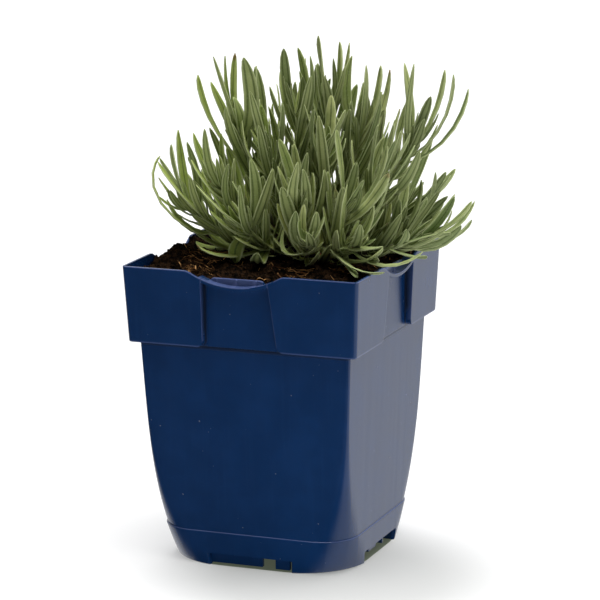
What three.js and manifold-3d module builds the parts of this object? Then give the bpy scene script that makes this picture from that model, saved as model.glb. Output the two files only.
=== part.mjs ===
// A young lavender in a square nursery pot.
// The pot is one injection-moulded shell: a slightly tapered body whose corners grow rounder towards
// the foot, and a stepped-out rim with a recessed panel and a dipped grip in the middle of each side.
// It is filled with potting soil, and the leafy stems stand in holes in the soil.
// Units are millimetres and +Z is up. Everything is drawn round the pot's own axis, from the ground
// up, and the whole is moved sideways at the end.
import * as THREE from "three";
import { mergeVertices } from "three/addons/utils/BufferGeometryUtils.js";
import Module from "manifold-3d";

const wasm = await Module();
wasm.setup();

// ---- Driving dimensions of the pot ----
const POT_HEIGHT = 135;
const RIM_HALF = 55; // half the outer width across the rim
const WALL = 1.3;
const RIM_HEIGHT = 34; // height of the stepped-out rim
const RIM_DRAFT = 1.7; // how much narrower, a side, the rim is at its lower edge
const RIM_CORNER = 2.5;
const SHOULDER_STEP = 5.7; // from the rim's top edge in to the body's top
const FOOT_HALF = 44.8;
const FOOT_CORNER = 30; // corner radius at the ground
const BODY_CORNER = 1.5; // corner radius high on the body
const ROUNDING_STARTS = 85; // height below which the corners start to grow round
const LEDGE_HEIGHT = 15.6; // small outward ledge round the body
const LEDGE_STEP = 0.5;

// The recess in the middle of each side of the rim, with one upright and one slanting edge.
const PANEL_HALF = 50.8; // distance from the axis to the recessed panel
const PANEL = { upright: -17.4, slantTop: 13.2, slantFoot: 17.4, round: 3 };
// The dipped edge over the recess, its curved lip, and the tab that stands up behind the lip.
const GRIP = { middle: -1.8, chord: 44, dip: 6.2, lip: 1.5, lipInset: 0.4 };
const TAB = { middle: -2.2, width: 25, top: 131.8, corner: 2, footRise: 1, footRun: 4 };

const FLOOR = { low: 6, high: 7.4 };
const ARCH = { width: 39, height: 5.5, depth: 6, inset: 1.2 }; // opening under each side, between the feet
// Short feet under the floor: the returns at an arch's ends, and the two behind its opening.
const RETURN = { outer: 44, inner: 37 };
const INNER_FEET = { outer: 38.6, inner: 36.4, low: 0.6, spans: [[-17, 7], [13.5, 18]] };
const DRAIN_RADIUS = 3.6;
const DRAIN_REACH = 27;
const SMALLEST_ROUND = 0.4; // corner radius inside the rim and the body
const GAP = 0.3; // clearance between pieces that touch
const SINK = 0.5; // how far one shape runs into another that it joins
const BEYOND = 3; // how far a cutting shape runs past what it cuts

// ---- Driving dimensions of the soil ----
const SOIL = { edge: 129.8, mound: 3.2, rough: 0.55, cells: 12 };
// The lumps of the soil's top are crossed waves: how strong each is, its way in X and Y, and its start.
const LUMPS = [
  { share: 0.6, x: 0.71, y: -0.53, start: 0.9 - Math.PI / 2 },
  { share: 0.4, x: 1.13, y: 0.97, start: 0 },
];
const CROSSED_LUMP = { x: 0.31, xStart: 1.3, y: 0.27, yStart: -0.6 };
const HEAP = { x: -45, y: -14, height: 6, spread: 8 }; // loose soil heaped against one side
const CROWN = { x: 6, y: 10 }; // where the plant grows from
const PLANT_HEIGHT = 90;
const ROOT_DEPTH = 9; // how deep a stem stands in the soil
const HOLE = { spare: 0.1, rise: 14, sides: 7 }; // the hole round a stem, past the clearance

// ---- Driving dimensions of the plant ----
const STEM_RADIUS = { low: 1.3, tip: 1 }; // out to the corners of the square stem
const LEAF = { length: 34, width: 5.3, keel: 0.95 };
const LEAF_ROOT = 0.24; // share of the full width at the leaf's base
const SPREAD = { low: 62, top: 24 }; // degrees between a leaf and its stem
const LEFT_REACH = -55; // no leaf grows further out than this over the pot's left side
const TRIES = 8;

// The leafy stems: the growing tip of each, how many leaf pairs it bears and where along it they
// begin, and where the tips of its longest leaves reach. The other leaves follow the rule below.
const STEMS = [
  {
    name: "stem_upper_left", tip: [-22, 1, 186], pairs: 6, from: 0.2,
    reach: [[-28, 2, 221], [-15, -8, 222], [-14, 3, 217], [-29, -9, 222], [-20, -17, 201], [-38, -6, 213]],
  },
  {
    name: "stem_left_low", tip: [-41, -12, 154], pairs: 6, from: 0.2,
    reach: [[-48, -6, 188], [-38, -19, 185], [-47, -16, 183], [-33, -28, 171], [-54, -13, 176], [-51, -22, 176]],
  },
  { name: "stem_left_mid", tip: [-22, -15, 164], pairs: 6, from: 0.2, reach: [[-35, -7, 184], [-15, -27, 178]] },
  { name: "stem_top_left", tip: [1, 12, 196], pairs: 7, from: 0.3, reach: [[-1, 4, 225], [1, 16, 224], [13, 1, 214]] },
  { name: "stem_top_mid", tip: [14, 23, 196], pairs: 7, from: 0.3, reach: [[9, 21, 229], [17, 26, 226], [16, 9, 213]] },
  {
    name: "stem_top_right", tip: [29, 21, 187], pairs: 6, from: 0.3,
    reach: [[23, 26, 220], [32, 19, 217], [36, 27, 216], [37, 36, 213], [40, 16, 202]],
  },
  {
    name: "stem_right_top", tip: [51, 27, 182], pairs: 6, from: 0.25,
    reach: [[46, 31, 217], [53, 23, 218], [63, 36, 214], [69, 30, 213], [74, 36, 206]],
  },
  {
    name: "stem_right_mid", tip: [41, 5, 165], pairs: 6, from: 0.25,
    reach: [[50, 5, 194], [51, 12, 190], [47, 21, 198], [58, 10, 184]],
  },
  {
    name: "stem_right_low", tip: [52, 27, 141], pairs: 5, from: 0.25,
    reach: [[54, 30, 165], [61, 29, 169], [62, 38, 164], [69, 32, 159], [70, 25, 153]],
  },
  {
    name: "stem_right_lowest", tip: [54, 12, 139], pairs: 6, from: 0.2,
    reach: [[80, 23, 158], [82, 17, 151], [59, -4, 149]],
  },
  {
    name: "stem_front_mid", tip: [13, -18, 158], pairs: 5, from: 0.25,
    reach: [[19, -25, 177], [18, -17, 183], [12, -32, 170], [26, -18, 176]],
  },
  { name: "stem_front_small", tip: [22, -27, 145], pairs: 5, from: 0.3, size: 0.62, reach: [[19, -34, 160], [28, -32, 160]] },
  {
    name: "stem_front_right", tip: [37, -17, 143], pairs: 5, from: 0.25, size: 0.9,
    reach: [[47, -20, 148], [53, -18, 143], [54, -28, 141]],
  },
  {
    name: "stem_front_left", tip: [-10, -19, 148], pairs: 5, from: 0.25, size: 0.95,
    reach: [[-6, -24, 180], [6, -28, 177], [-2, -20, 172], [2, -36, 141], [-28, -33, 142]],
  },
  { name: "stem_mid", tip: [19, 0, 178], pairs: 7, from: 0.3 },
  { name: "stem_mid_left", tip: [-6, -3, 175], pairs: 7, from: 0.3 },
  {
    name: "stem_front_right_big", tip: [32, -10, 155], pairs: 5, from: 0.25, size: 1.1,
    reach: [[53, -11, 174], [37, -7, 178], [35, -18, 169], [20, -8, 198]],
  },
  { name: "stem_back_left", tip: [-22, 25, 180], pairs: 7, from: 0.25 },
  { name: "stem_back_mid", tip: [-1, 38, 183], pairs: 7, from: 0.25 },
  { name: "stem_back_right", tip: [25, 42, 172], pairs: 7, from: 0.25 },
  { name: "stem_back_left_low", tip: [-34, 18, 152], pairs: 7, from: 0.2 },
  { name: "stem_back_right_low", tip: [38, 48, 146], pairs: 6, from: 0.2 },
  { name: "stem_back_low", tip: [-8, 50, 150], pairs: 6, from: 0.2 },
];

// ---- Closed surfaces from rings of points ----

// A closed mesh through rings of equal length, each counter-clockwise seen from the end that it is
// lofted towards. With a peak, the last ring runs to that point.
function loft(rings, peak = null) {
  const count = rings[0].length;
  const points = rings.flat();
  const faces = [];
  for (let level = 0; level + 1 < rings.length; level++) {
    for (let i = 0; i < count; i++) {
      const a = level * count + i;
      const b = level * count + ((i + 1) % count);
      faces.push(a, b, b + count, a, b + count, a + count);
    }
  }
  for (let i = 1; i + 1 < count; i++) faces.push(0, i + 1, i);
  const last = (rings.length - 1) * count;
  if (peak) {
    points.push(peak);
    for (let i = 0; i < count; i++) faces.push(last + i, last + ((i + 1) % count), points.length - 1);
  } else {
    for (let i = 1; i + 1 < count; i++) faces.push(last, last + i, last + i + 1);
  }
  const geometry = new THREE.BufferGeometry();
  geometry.setAttribute("position", new THREE.Float32BufferAttribute(points.flat(), 3));
  geometry.setIndex(faces);
  return geometry;
}

const CURVE_STEPS = 3; // along each small curve of an outline
const ARC_STEPS = 9; // along the grip's arc

// A rounded square as a ring of points at one height.
const CORNER_STEPS = 4;
function squareRing(half, radius, z) {
  const ring = [];
  for (let corner = 0; corner < 4; corner++) {
    const middle = Math.PI * (corner * 0.5 - 0.25);
    const centre = (half - radius) * Math.SQRT2;
    for (let i = 0; i <= CORNER_STEPS; i++) {
      const angle = middle + (Math.PI / 2) * (i / CORNER_STEPS - 0.5);
      ring.push([
        centre * Math.cos(middle) + radius * Math.cos(angle),
        centre * Math.sin(middle) + radius * Math.sin(angle),
        z,
      ]);
    }
  }
  return ring;
}

function solid(geometry) {
  const bare = geometry.clone();
  bare.deleteAttribute("normal");
  bare.deleteAttribute("uv");
  const merged = mergeVertices(bare, 1e-4);
  return new wasm.Manifold(
    new wasm.Mesh({
      numProp: 3,
      vertProperties: new Float32Array(merged.attributes.position.array),
      triVerts: new Uint32Array(merged.index.array),
    }),
  );
}

function geometryOf(manifold) {
  const mesh = manifold.getMesh();
  const geometry = new THREE.BufferGeometry();
  geometry.setAttribute("position", new THREE.Float32BufferAttribute(mesh.vertProperties, mesh.numProp));
  geometry.setIndex(new THREE.Uint32BufferAttribute(mesh.triVerts, 1));
  return geometry;
}

// The largest closed surface of a union, without the tiny pockets that crossing leaves can shut in.
function wholeBody(manifold) {
  return manifold.decompose().reduce((most, body) => (body.volume() > most.volume() ? body : most));
}

// The four turned copies of a solid that is made for the -Y side. Two of them are mirror images,
// because the sides face each other in mirrored pairs round the corners.
function onFourSides(make) {
  return [0, 90, 180, 270].map((degrees) => {
    const geometry = make(degrees % 180 === 0 ? 1 : -1);
    return solid(geometry.rotateZ(THREE.MathUtils.degToRad(degrees)));
  });
}

function mirrored(points, hand) {
  return new THREE.Shape(points.map((point) => new THREE.Vector2(point.x * hand, point.y)));
}

// An outline drawn in X and Z, given thickness from y = from to y = to.
function uprightPlate(shape, from, to) {
  const plate = new THREE.ExtrudeGeometry(shape, { depth: to - from, bevelEnabled: false });
  return plate.rotateX(Math.PI / 2).translate(0, to, 0);
}

// ---- Pot ----
const SHOULDER = POT_HEIGHT - RIM_HEIGHT;
const BODY_TOP_HALF = RIM_HALF - SHOULDER_STEP;
const BODY_LEVELS = [0, 4, 9, LEDGE_HEIGHT - 0.3, LEDGE_HEIGHT, 23, 32, 44, 60, SHOULDER];
const HOLLOW_LEVELS = [23, 44, 70, SHOULDER];

function bodyHalf(z) {
  const rise = Math.min(z, SHOULDER) / SHOULDER;
  return FOOT_HALF - LEDGE_STEP + (BODY_TOP_HALF - FOOT_HALF + LEDGE_STEP) * rise;
}

function bodyCorner(z) {
  const fall = Math.max(0, 1 - z / ROUNDING_STARTS);
  return BODY_CORNER + (FOOT_CORNER - BODY_CORNER) * fall ** 3;
}

function bodyRing(z, inset, ledge = 0) {
  const radius = Math.max(bodyCorner(z) - inset, SMALLEST_ROUND);
  return squareRing(bodyHalf(z) + ledge - inset, radius, z);
}

function rimRing(z, inset) {
  const rise = (z - SHOULDER) / RIM_HEIGHT;
  const half = RIM_HALF - RIM_DRAFT * (1 - rise);
  return squareRing(half - inset, Math.max(RIM_CORNER - inset, SMALLEST_ROUND), z);
}

// The recesses of the rim's panels. A recess grows by the wall's thickness where it is taken from
// the hollow, so that the panel and its flanks keep a wall.
function panelRecesses(grow) {
  const { upright, slantTop, slantFoot } = PANEL;
  const low = SHOULDER - BEYOND;
  const high = POT_HEIGHT + BEYOND;
  const round = grow ? 0 : PANEL.round;
  const turned = SHOULDER - 0.1; // the rounded corners run out just under the rim
  const outline = new THREE.Shape();
  outline.moveTo(upright - grow, high);
  outline.lineTo(upright - grow, SHOULDER + round + SINK);
  if (round) outline.quadraticCurveTo(upright, SHOULDER, upright - round, turned);
  outline.lineTo(upright - grow - round, low);
  outline.lineTo(slantFoot + grow + round, low);
  if (round) outline.lineTo(slantFoot + round, turned);
  if (round) outline.quadraticCurveTo(slantFoot, SHOULDER, slantFoot, SHOULDER + round);
  outline.lineTo(slantTop + grow, high);
  const points = outline.getPoints(CURVE_STEPS);
  return onFourSides((hand) => uprightPlate(mirrored(points, hand), -RIM_HALF - BEYOND, -PANEL_HALF + grow));
}

// The hollow that holds the soil, made smaller all round by a clearance.
function hollow(clearance, top) {
  const inset = WALL + clearance;
  const room = solid(loft([FLOOR.high + clearance, ...HOLLOW_LEVELS, top].map((z) => bodyRing(z, inset))));
  const low = SHOULDER + WALL + clearance;
  let rim = solid(loft([rimRing(low, inset), rimRing(top, inset)]));
  for (const recess of panelRecesses(WALL + clearance)) rim = rim.subtract(recess);
  return room.add(rim);
}

// The dipped edge of a side: a circular arc, or one below it, between two places along the side.
function gripArc(drop, from, to) {
  const half = GRIP.chord / 2;
  const radius = (half * half + GRIP.dip * GRIP.dip) / (2 * GRIP.dip);
  const [start, end] = [from, to].map((x) => Math.asin((x - GRIP.middle) / radius));
  return Array.from({ length: ARC_STEPS + 1 }, (_, i) => {
    const angle = start + ((end - start) * i) / ARC_STEPS;
    return new THREE.Vector2(
      GRIP.middle + (radius + drop) * Math.sin(angle),
      POT_HEIGHT - GRIP.dip + radius - (radius + drop) * Math.cos(angle),
    );
  });
}

// What the grip takes away above its arc.
function gripCuts() {
  const [left, right] = [GRIP.middle - GRIP.chord / 2, GRIP.middle + GRIP.chord / 2];
  const top = POT_HEIGHT + BEYOND;
  const outline = [...gripArc(0, left, right), new THREE.Vector2(right, top), new THREE.Vector2(left, top)];
  return onFourSides((hand) => uprightPlate(mirrored(outline, hand), -RIM_HALF - BEYOND, -PANEL_HALF + WALL + BEYOND));
}

// The curved lip under the arc, from the rim's face back to the panel.
function gripLips() {
  const [left, right] = [PANEL.upright - WALL / 2, PANEL.slantTop + WALL / 2];
  const outline = [...gripArc(0, left, right), ...gripArc(GRIP.lip, left, right).reverse()];
  return onFourSides((hand) => uprightPlate(mirrored(outline, hand), -RIM_HALF + GRIP.lipInset, -PANEL_HALF + WALL / 2));
}

// The tab that stands up behind the lip, flush with the panel.
function tabs() {
  const { middle, top, corner, footRise, footRun } = TAB;
  const half = TAB.width / 2;
  const low = POT_HEIGHT - GRIP.dip - GRIP.lip;
  const outline = new THREE.Shape();
  outline.moveTo(middle - half, low + footRise);
  outline.lineTo(middle - half + footRun, low);
  outline.lineTo(middle + half - footRun, low);
  outline.lineTo(middle + half, low + footRise);
  outline.lineTo(middle + half, top - corner);
  outline.quadraticCurveTo(middle + half, top, middle + half - corner, top);
  outline.lineTo(middle - half + corner, top);
  outline.quadraticCurveTo(middle - half, top, middle - half, top - corner);
  const points = outline.getPoints(CURVE_STEPS);
  return onFourSides((hand) => uprightPlate(mirrored(points, hand), -PANEL_HALF, -PANEL_HALF + WALL));
}

// Under the floor: an arch in each side, the returns at its ends, and short inner feet.
function arches() {
  const { width, height, depth, inset } = ARCH;
  return onFourSides(() =>
    new THREE.BoxGeometry(width, depth, height + BEYOND).translate(0, -FOOT_HALF + inset, (height - BEYOND) / 2),
  );
}

function innerFeet() {
  const feet = [
    { from: -ARCH.width / 2 - WALL, to: -ARCH.width / 2, low: 0, ...RETURN },
    { from: ARCH.width / 2, to: ARCH.width / 2 + WALL, low: 0, ...RETURN },
    ...INNER_FEET.spans.map(([from, to]) => ({ ...INNER_FEET, from, to })),
  ];
  return feet.flatMap(({ from, to, outer, inner, low }) => {
    const high = FLOOR.low + SINK;
    return onFourSides((hand) =>
      new THREE.BoxGeometry(to - from, outer - inner, high - low).translate(
        (hand * (from + to)) / 2,
        -(outer + inner) / 2,
        (high + low) / 2,
      ),
    );
  });
}

function drains() {
  const places = [[0, 0], [DRAIN_REACH, 0], [-DRAIN_REACH, 0], [0, DRAIN_REACH], [0, -DRAIN_REACH]];
  return places.map(([x, y]) => {
    const length = FLOOR.high - FLOOR.low + 2 * BEYOND;
    const bore = new THREE.CylinderGeometry(DRAIN_RADIUS, DRAIN_RADIUS, length, 12).rotateX(Math.PI / 2);
    return solid(bore.translate(x, y, (FLOOR.low + FLOOR.high) / 2));
  });
}

function makePot() {
  const rings = BODY_LEVELS.map((z) => bodyRing(z, 0, z < LEDGE_HEIGHT ? LEDGE_STEP : 0));
  let rim = solid(loft([rimRing(SHOULDER, 0), rimRing(POT_HEIGHT, 0)]));
  for (const recess of panelRecesses(0)) rim = rim.subtract(recess);
  const core = solid(loft([squareRing(PANEL_HALF, BODY_CORNER, SHOULDER), squareRing(PANEL_HALF, BODY_CORNER, POT_HEIGHT)]));
  let pot = solid(loft(rings)).add(rim).add(core);
  pot = pot.subtract(hollow(0, POT_HEIGHT + BEYOND));
  const under = [-BEYOND, 0, 4, FLOOR.low].map((z) => squareRing(bodyHalf(z) - WALL, bodyCorner(Math.max(z, 0)) - WALL, z));
  pot = pot.subtract(solid(loft(under)));
  for (const cut of [...gripCuts(), ...arches(), ...drains()]) pot = pot.subtract(cut);
  for (const piece of [...gripLips(), ...tabs(), ...innerFeet()]) pot = pot.add(piece);
  return pot;
}

// ---- Soil ----

// The lumpy top of the soil, mounded towards the middle of the pot.
function soilHeight(x, y) {
  const out = Math.hypot(x, y) / RIM_HALF;
  const crossed = CROSSED_LUMP;
  let lumps = Math.sin(x * crossed.x + crossed.xStart) * Math.cos(y * crossed.y + crossed.yStart);
  for (const wave of LUMPS) lumps += wave.share * Math.cos(x * wave.x + y * wave.y + wave.start);
  const heap = HEAP.height * Math.exp(-((x - HEAP.x) ** 2 + (y - HEAP.y) ** 2) / (2 * HEAP.spread ** 2));
  return SOIL.edge + SOIL.mound * Math.max(0, 1 - out * out) + SOIL.rough * lumps + heap;
}

function makeSoil(stems) {
  const reach = RIM_HALF + 1;
  const cells = SOIL.cells;
  const slab = new THREE.BoxGeometry(2 * reach, 2 * reach, SOIL.edge, cells, cells, 1).translate(0, 0, SOIL.edge / 2);
  const spots = slab.attributes.position;
  for (let i = 0; i < spots.count; i++) {
    if (spots.getZ(i) > 0) spots.setZ(i, soilHeight(spots.getX(i), spots.getY(i)));
  }
  let soil = hollow(GAP, POT_HEIGHT + BEYOND).intersect(solid(slab));
  for (const stem of stems) {
    const radius = STEM_RADIUS.low + GAP + HOLE.spare;
    const depth = ROOT_DEPTH + HOLE.rise;
    const bore = new THREE.CylinderGeometry(radius, radius, depth, HOLE.sides).rotateX(Math.PI / 2);
    const low = stem.root.z - ROOT_DEPTH - SINK;
    soil = soil.subtract(solid(bore.translate(stem.root.x, stem.root.y, low + depth / 2)));
  }
  return soil;
}

// ---- Plant ----

// Repeatable draws from 0 to 1 (the minimal standard generator).
function draws(seed) {
  let state = seed;
  return () => {
    state = (state * 48271) % 2147483647;
    return state / 2147483647;
  };
}

// Where a stem leaves the soil, as a share of the way from the crown out to below its tip: far out
// where it stays low. Its bend lies further out and part of the way up.
const COURSE = { near: 0.2, far: 0.5, bendOut: 0.33, bendUp: 0.42, bendRise: 3 };
function stemCourse(plan) {
  const tip = new THREE.Vector3(...plan.tip);
  const out = new THREE.Vector3(tip.x - CROWN.x, tip.y - CROWN.y, 0);
  const low = 1 - (tip.z - POT_HEIGHT) / PLANT_HEIGHT;
  const { near, far, bendOut, bendUp, bendRise } = COURSE;
  const root = new THREE.Vector3(CROWN.x, CROWN.y, 0).addScaledVector(out, near + (far - near) * low);
  root.z = soilHeight(root.x, root.y);
  const bend = root.clone().addScaledVector(out, bendOut);
  bend.z = root.z + (tip.z - root.z) * bendUp + bendRise;
  return { root, curve: new THREE.QuadraticBezierCurve3(root, bend, tip) };
}

// Small balls along everything that has grown, sorted into cells, so that what grows next keeps
// clear of it. Leaves of one stem only keep clear of each other away from the stem.
const CELL = 3;
const KIN_SHARE = 0.6;
const grown = new Map();
const cellOf = (value) => Math.floor(value / CELL);
const cellKey = (i, j, k) => (i * 1000 + j) * 1000 + k;

function remember(ball) {
  const key = cellKey(cellOf(ball.x), cellOf(ball.y), cellOf(ball.z));
  if (!grown.has(key)) grown.set(key, []);
  grown.get(key).push(ball);
}

function touchesGrown(ball) {
  const [i, j, k] = [cellOf(ball.x), cellOf(ball.y), cellOf(ball.z)];
  for (let a = i - 1; a <= i + 1; a++) {
    for (let b = j - 1; b <= j + 1; b++) {
      for (let c = k - 1; c <= k + 1; c++) {
        for (const other of grown.get(cellKey(a, b, c)) ?? []) {
          const kin = other.owner === ball.owner;
          if (kin && !(ball.outer && other.outer)) continue;
          const apart = Math.hypot(other.x - ball.x, other.y - ball.y, other.z - ball.z);
          if (apart < (other.r + ball.r) * (kin ? KIN_SHARE : 1) + GAP) return true;
        }
      }
    }
  }
  return false;
}

// Leaves lie over the soil, or over the rim, by a little air.
function touchesGround(ball) {
  const out = Math.max(Math.abs(ball.x), Math.abs(ball.y));
  if (out > RIM_HALF + ball.r + 1) return false;
  const ground = out > PANEL_HALF - WALL - ball.r - 1 ? POT_HEIGHT : soilHeight(ball.x, ball.y);
  return ball.z - 0.7 * ball.r < ground + GAP;
}

// Narrow at the base, widest past the middle, with a blunt tip.
const WIDEST = 0.6;
function leafWidthAt(t) {
  if (t < WIDEST) return LEAF_ROOT + (1 - LEAF_ROOT) * Math.sin((Math.PI / 2) * (t / WIDEST));
  return Math.sqrt(Math.max(0, 1 - ((t - WIDEST) / (1 - WIDEST)) ** 2.4));
}

// A leaf that starts on the stem's axis, leans out, and curves back up towards the light.
function leafCourse(base, along, side, spread, length, width, lift) {
  const out = along.clone().multiplyScalar(Math.cos(spread)).addScaledVector(side, Math.sin(spread));
  const up = out.clone().addScaledVector(along, lift * 0.3).add(new THREE.Vector3(0, 0, lift)).normalize();
  const knee = base.clone().addScaledVector(out, length * 0.38);
  const end = knee.clone().addScaledVector(up, length * 0.65);
  const curve = new THREE.QuadraticBezierCurve3(base, knee, end);
  const face = side.clone().multiplyScalar(-1).add(FACE_TILT);
  return { curve, width, face };
}

// Stems and leaves are made with flat facets between these shares of their curves.
const STEM_LEVELS = [0, 0.33, 0.66, 0.97, 1];
const LEAF_LEVELS = [0, 0.42, 0.86, 1];
const STEM_STEPS = 30; // balls along a stem
const TOP_LEAF = 0.97; // the last place for a leaf along a stem
const FACE_TILT = new THREE.Vector3(0, 0, 0.25); // how much a leaf's upper face looks up

function facetPoint(curve, levels, t) {
  const next = Math.max(1, levels.findIndex((level) => level >= t));
  const [from, to] = [levels[next - 1], levels[next]];
  return curve.getPoint(from).lerp(curve.getPoint(to), (t - from) / (to - from));
}

function leafFrame(leaf, t) {
  const point = leaf.curve.getPoint(t);
  const along = leaf.curve.getTangent(t);
  const across = along.clone().cross(leaf.face).normalize();
  const up = across.clone().cross(along);
  return { point, across, up, half: (leaf.width / 2) * leafWidthAt(t) };
}

const LEAF_STEPS = 16;
const BALL = { radius: 0.38, spare: 0.3, least: 0.6, across: [-0.62, 0, 0.62], sunk: 0.4, outerFrom: 0.35 };
function leafBalls(leaf, owner) {
  const balls = [];
  for (let i = 1; i <= LEAF_STEPS; i++) {
    const { across, up, half } = leafFrame(leaf, i / LEAF_STEPS);
    const middle = facetPoint(leaf.curve, LEAF_LEVELS, i / LEAF_STEPS).addScaledVector(up, -BALL.sunk * LEAF.keel);
    const r = Math.max(BALL.radius * half + BALL.spare, BALL.least);
    for (const share of BALL.across) {
      const spot = middle.clone().addScaledVector(across, half * share);
      balls.push({ x: spot.x, y: spot.y, z: spot.z, r, owner, outer: i > BALL.outerFrom * LEAF_STEPS });
    }
  }
  return balls;
}

// A direction square to a stem, turned round it by an angle.
function sideways(along, angle) {
  const across = new THREE.Vector3(0.31, 0.17, 1).cross(along).normalize();
  const other = along.clone().cross(across);
  return across.multiplyScalar(Math.cos(angle)).addScaledVector(other, Math.sin(angle));
}

function growStem(plan, index) {
  const random = draws(7919 * (index + 1) + 17);
  const { root, curve } = stemCourse(plan);
  for (let i = 1; i <= STEM_STEPS; i++) {
    const p = facetPoint(curve, STEM_LEVELS, i / STEM_STEPS);
    remember({ x: p.x, y: p.y, z: p.z, r: STEM_RADIUS.low, owner: plan.name });
  }
  return { plan, root, curve, random, turn: random() * Math.PI, leaves: [] };
}

// The long leaves that end where the plan says. Each starts on the stem a leaf's length away.
function growReach(stem) {
  const { plan, curve, random } = stem;
  let at = TOP_LEAF;
  for (const spot of plan.reach ?? []) {
    const end = new THREE.Vector3(...spot);
    const length = LEAF.length * (plan.size ?? 1) * (0.92 + 0.2 * random());
    const width = LEAF.width * (0.8 + 0.35 * random());
    while (at > 0.3 && curve.getPoint(at).distanceTo(end) < length) at -= 0.01;
    for (let attempt = 0; attempt < TRIES; attempt++) {
      const base = curve.getPoint(Math.min(TOP_LEAF, at + 0.02 * attempt));
      const flat = end.clone().sub(base).setZ(0);
      const knee = base.clone().lerp(end, 0.45).addScaledVector(flat, 0.25);
      knee.z -= 0.18 * flat.length();
      const face = flat.normalize().negate().add(FACE_TILT);
      const leaf = { curve: new THREE.QuadraticBezierCurve3(base, knee, end), width, face };
      if (placeLeaf(stem, leaf)) break;
    }
    at -= 0.04;
  }
}

function placeLeaf(stem, leaf) {
  const balls = leafBalls(leaf, stem.plan.name);
  if (balls.some((ball) => ball.x < LEFT_REACH || touchesGround(ball) || touchesGrown(ball))) return false;
  balls.forEach(remember);
  stem.leaves.push(leaf);
  return true;
}

function growPair(stem, pair) {
  const { plan, curve, random } = stem;
  const size = plan.size ?? 1;
  const share = pair / (plan.pairs - 1);
  const at = plan.from + (0.96 - plan.from) * share;
  const base = curve.getPoint(at);
  const along = curve.getTangent(at);
  const turn = stem.turn + (pair * Math.PI) / 2;
  for (const hand of [0, 1]) {
    const [swing, open, long, wide] = [random(), random(), random(), random()];
    for (let attempt = 0; attempt < TRIES; attempt++) {
      const aside = (attempt % 2 ? 1 : -1) * attempt * 0.2;
      const angle = turn + hand * Math.PI + (swing - 0.5) * 0.6 + aside;
      const side = sideways(along, angle);
      const degrees = (SPREAD.low + (SPREAD.top - SPREAD.low) * share) * (0.75 + 0.5 * open);
      const spread = THREE.MathUtils.degToRad(degrees) * (1 - 0.05 * attempt);
      const length = LEAF.length * size * (0.78 + 0.34 * long) * (0.82 + 0.3 * share - 0.12 * share * share);
      const width = LEAF.width * (0.5 + 0.5 * size) * (0.78 + 0.44 * wide);
      const shrink = 1 - 0.04 * attempt;
      const leaf = leafCourse(base, along, side, spread, length * shrink, width, 0.9 + 0.9 * open);
      if (placeLeaf(stem, leaf)) break;
    }
  }
}

// A square stem, its flats towards its leaves, upright where it stands in the soil.
function stemGeometry(stem) {
  const foot = stem.root.clone();
  foot.z -= ROOT_DEPTH;
  const stations = STEM_LEVELS.slice(0, -1).map((t) => ({
    point: stem.curve.getPoint(t),
    along: stem.curve.getTangent(t),
    radius: STEM_RADIUS.low + (STEM_RADIUS.tip - STEM_RADIUS.low) * t,
  }));
  const upright = new THREE.Vector3(0.05, 0.05, 1).normalize();
  stations[0].along = upright;
  stations.unshift({ point: foot, along: upright, radius: STEM_RADIUS.low });
  const rings = stations.map(({ point, along, radius }) =>
    [0, 1, 2, 3].map((corner) => {
      const angle = stem.turn + (Math.PI / 2) * (corner + 0.5);
      return point.clone().addScaledVector(sideways(along, angle), radius).toArray();
    }),
  );
  return loft(rings, stem.curve.getPoint(1).toArray());
}

// A blade with a keel under it: flat above, narrow at the root and blunt at the tip.
function bladeGeometry(leaf) {
  const rings = LEAF_LEVELS.slice(0, -1).map((t) => {
    const { point, across, up, half } = leafFrame(leaf, t);
    const keel = LEAF.keel * (0.6 + 0.4 * leafWidthAt(t));
    const left = point.clone().addScaledVector(across, half);
    const right = point.clone().addScaledVector(across, -half);
    const under = point.clone().addScaledVector(up, -keel);
    return [left.toArray(), under.toArray(), right.toArray()];
  });
  return loft(rings, leaf.curve.getPoint(1).toArray());
}

// All stems grow together, a pair of leaves at a time, from the tips down, so that each gets room.
function growPlant() {
  const stems = STEMS.map(growStem);
  stems.forEach(growReach);
  const most = Math.max(...STEMS.map((plan) => plan.pairs));
  for (let down = 0; down < most; down++) {
    for (const stem of stems) {
      const pair = stem.plan.pairs - 1 - down;
      if (pair >= 0) growPair(stem, pair);
    }
  }
  return stems;
}

// ---- Assembly ----
const COLOURS = {
  pot: new THREE.MeshStandardMaterial({ name: "pot", color: 0x173a6b, roughness: 0.42, metalness: 0 }),
  soil: new THREE.MeshStandardMaterial({ name: "soil", color: 0x2a1b12, roughness: 0.95, metalness: 0 }),
  leaf: new THREE.MeshStandardMaterial({ name: "leaf", color: 0x76855a, roughness: 0.75, metalness: 0 }),
};

const lavender = new THREE.Group();
lavender.name = "potted_lavender";

function place(name, manifold, material) {
  const mesh = new THREE.Mesh(geometryOf(manifold), material);
  mesh.name = name;
  lavender.add(mesh);
}

const stems = growPlant();
place("pot", makePot(), COLOURS.pot);
place("soil", makeSoil(stems), COLOURS.soil);
for (const stem of stems) {
  const pieces = [stemGeometry(stem), ...stem.leaves.map(bladeGeometry)].map(solid);
  place(stem.plan.name, wholeBody(wasm.Manifold.union(pieces)), COLOURS.leaf);
}

// The leaves reach further to some sides than to others, so the object is moved over until the
// origin is below the middle of all of it.
const middle = new THREE.Box3().setFromObject(lavender).getCenter(new THREE.Vector3());
for (const mesh of lavender.children) mesh.geometry.translate(-middle.x, -middle.y, 0);

export default lavender;
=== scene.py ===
# A young lavender in a square nursery pot: the pot, the soil that fills it and the leafy stems.
# The part's plain solids are the frame, and each piece made here stands for one of them, with its
# finish. Lengths are millimetres from the pot's axis until a piece is put in its place.
import math
from types import SimpleNamespace

import bmesh
import bpy
import numpy as np
from mathutils import Matrix, Vector, noise


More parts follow.
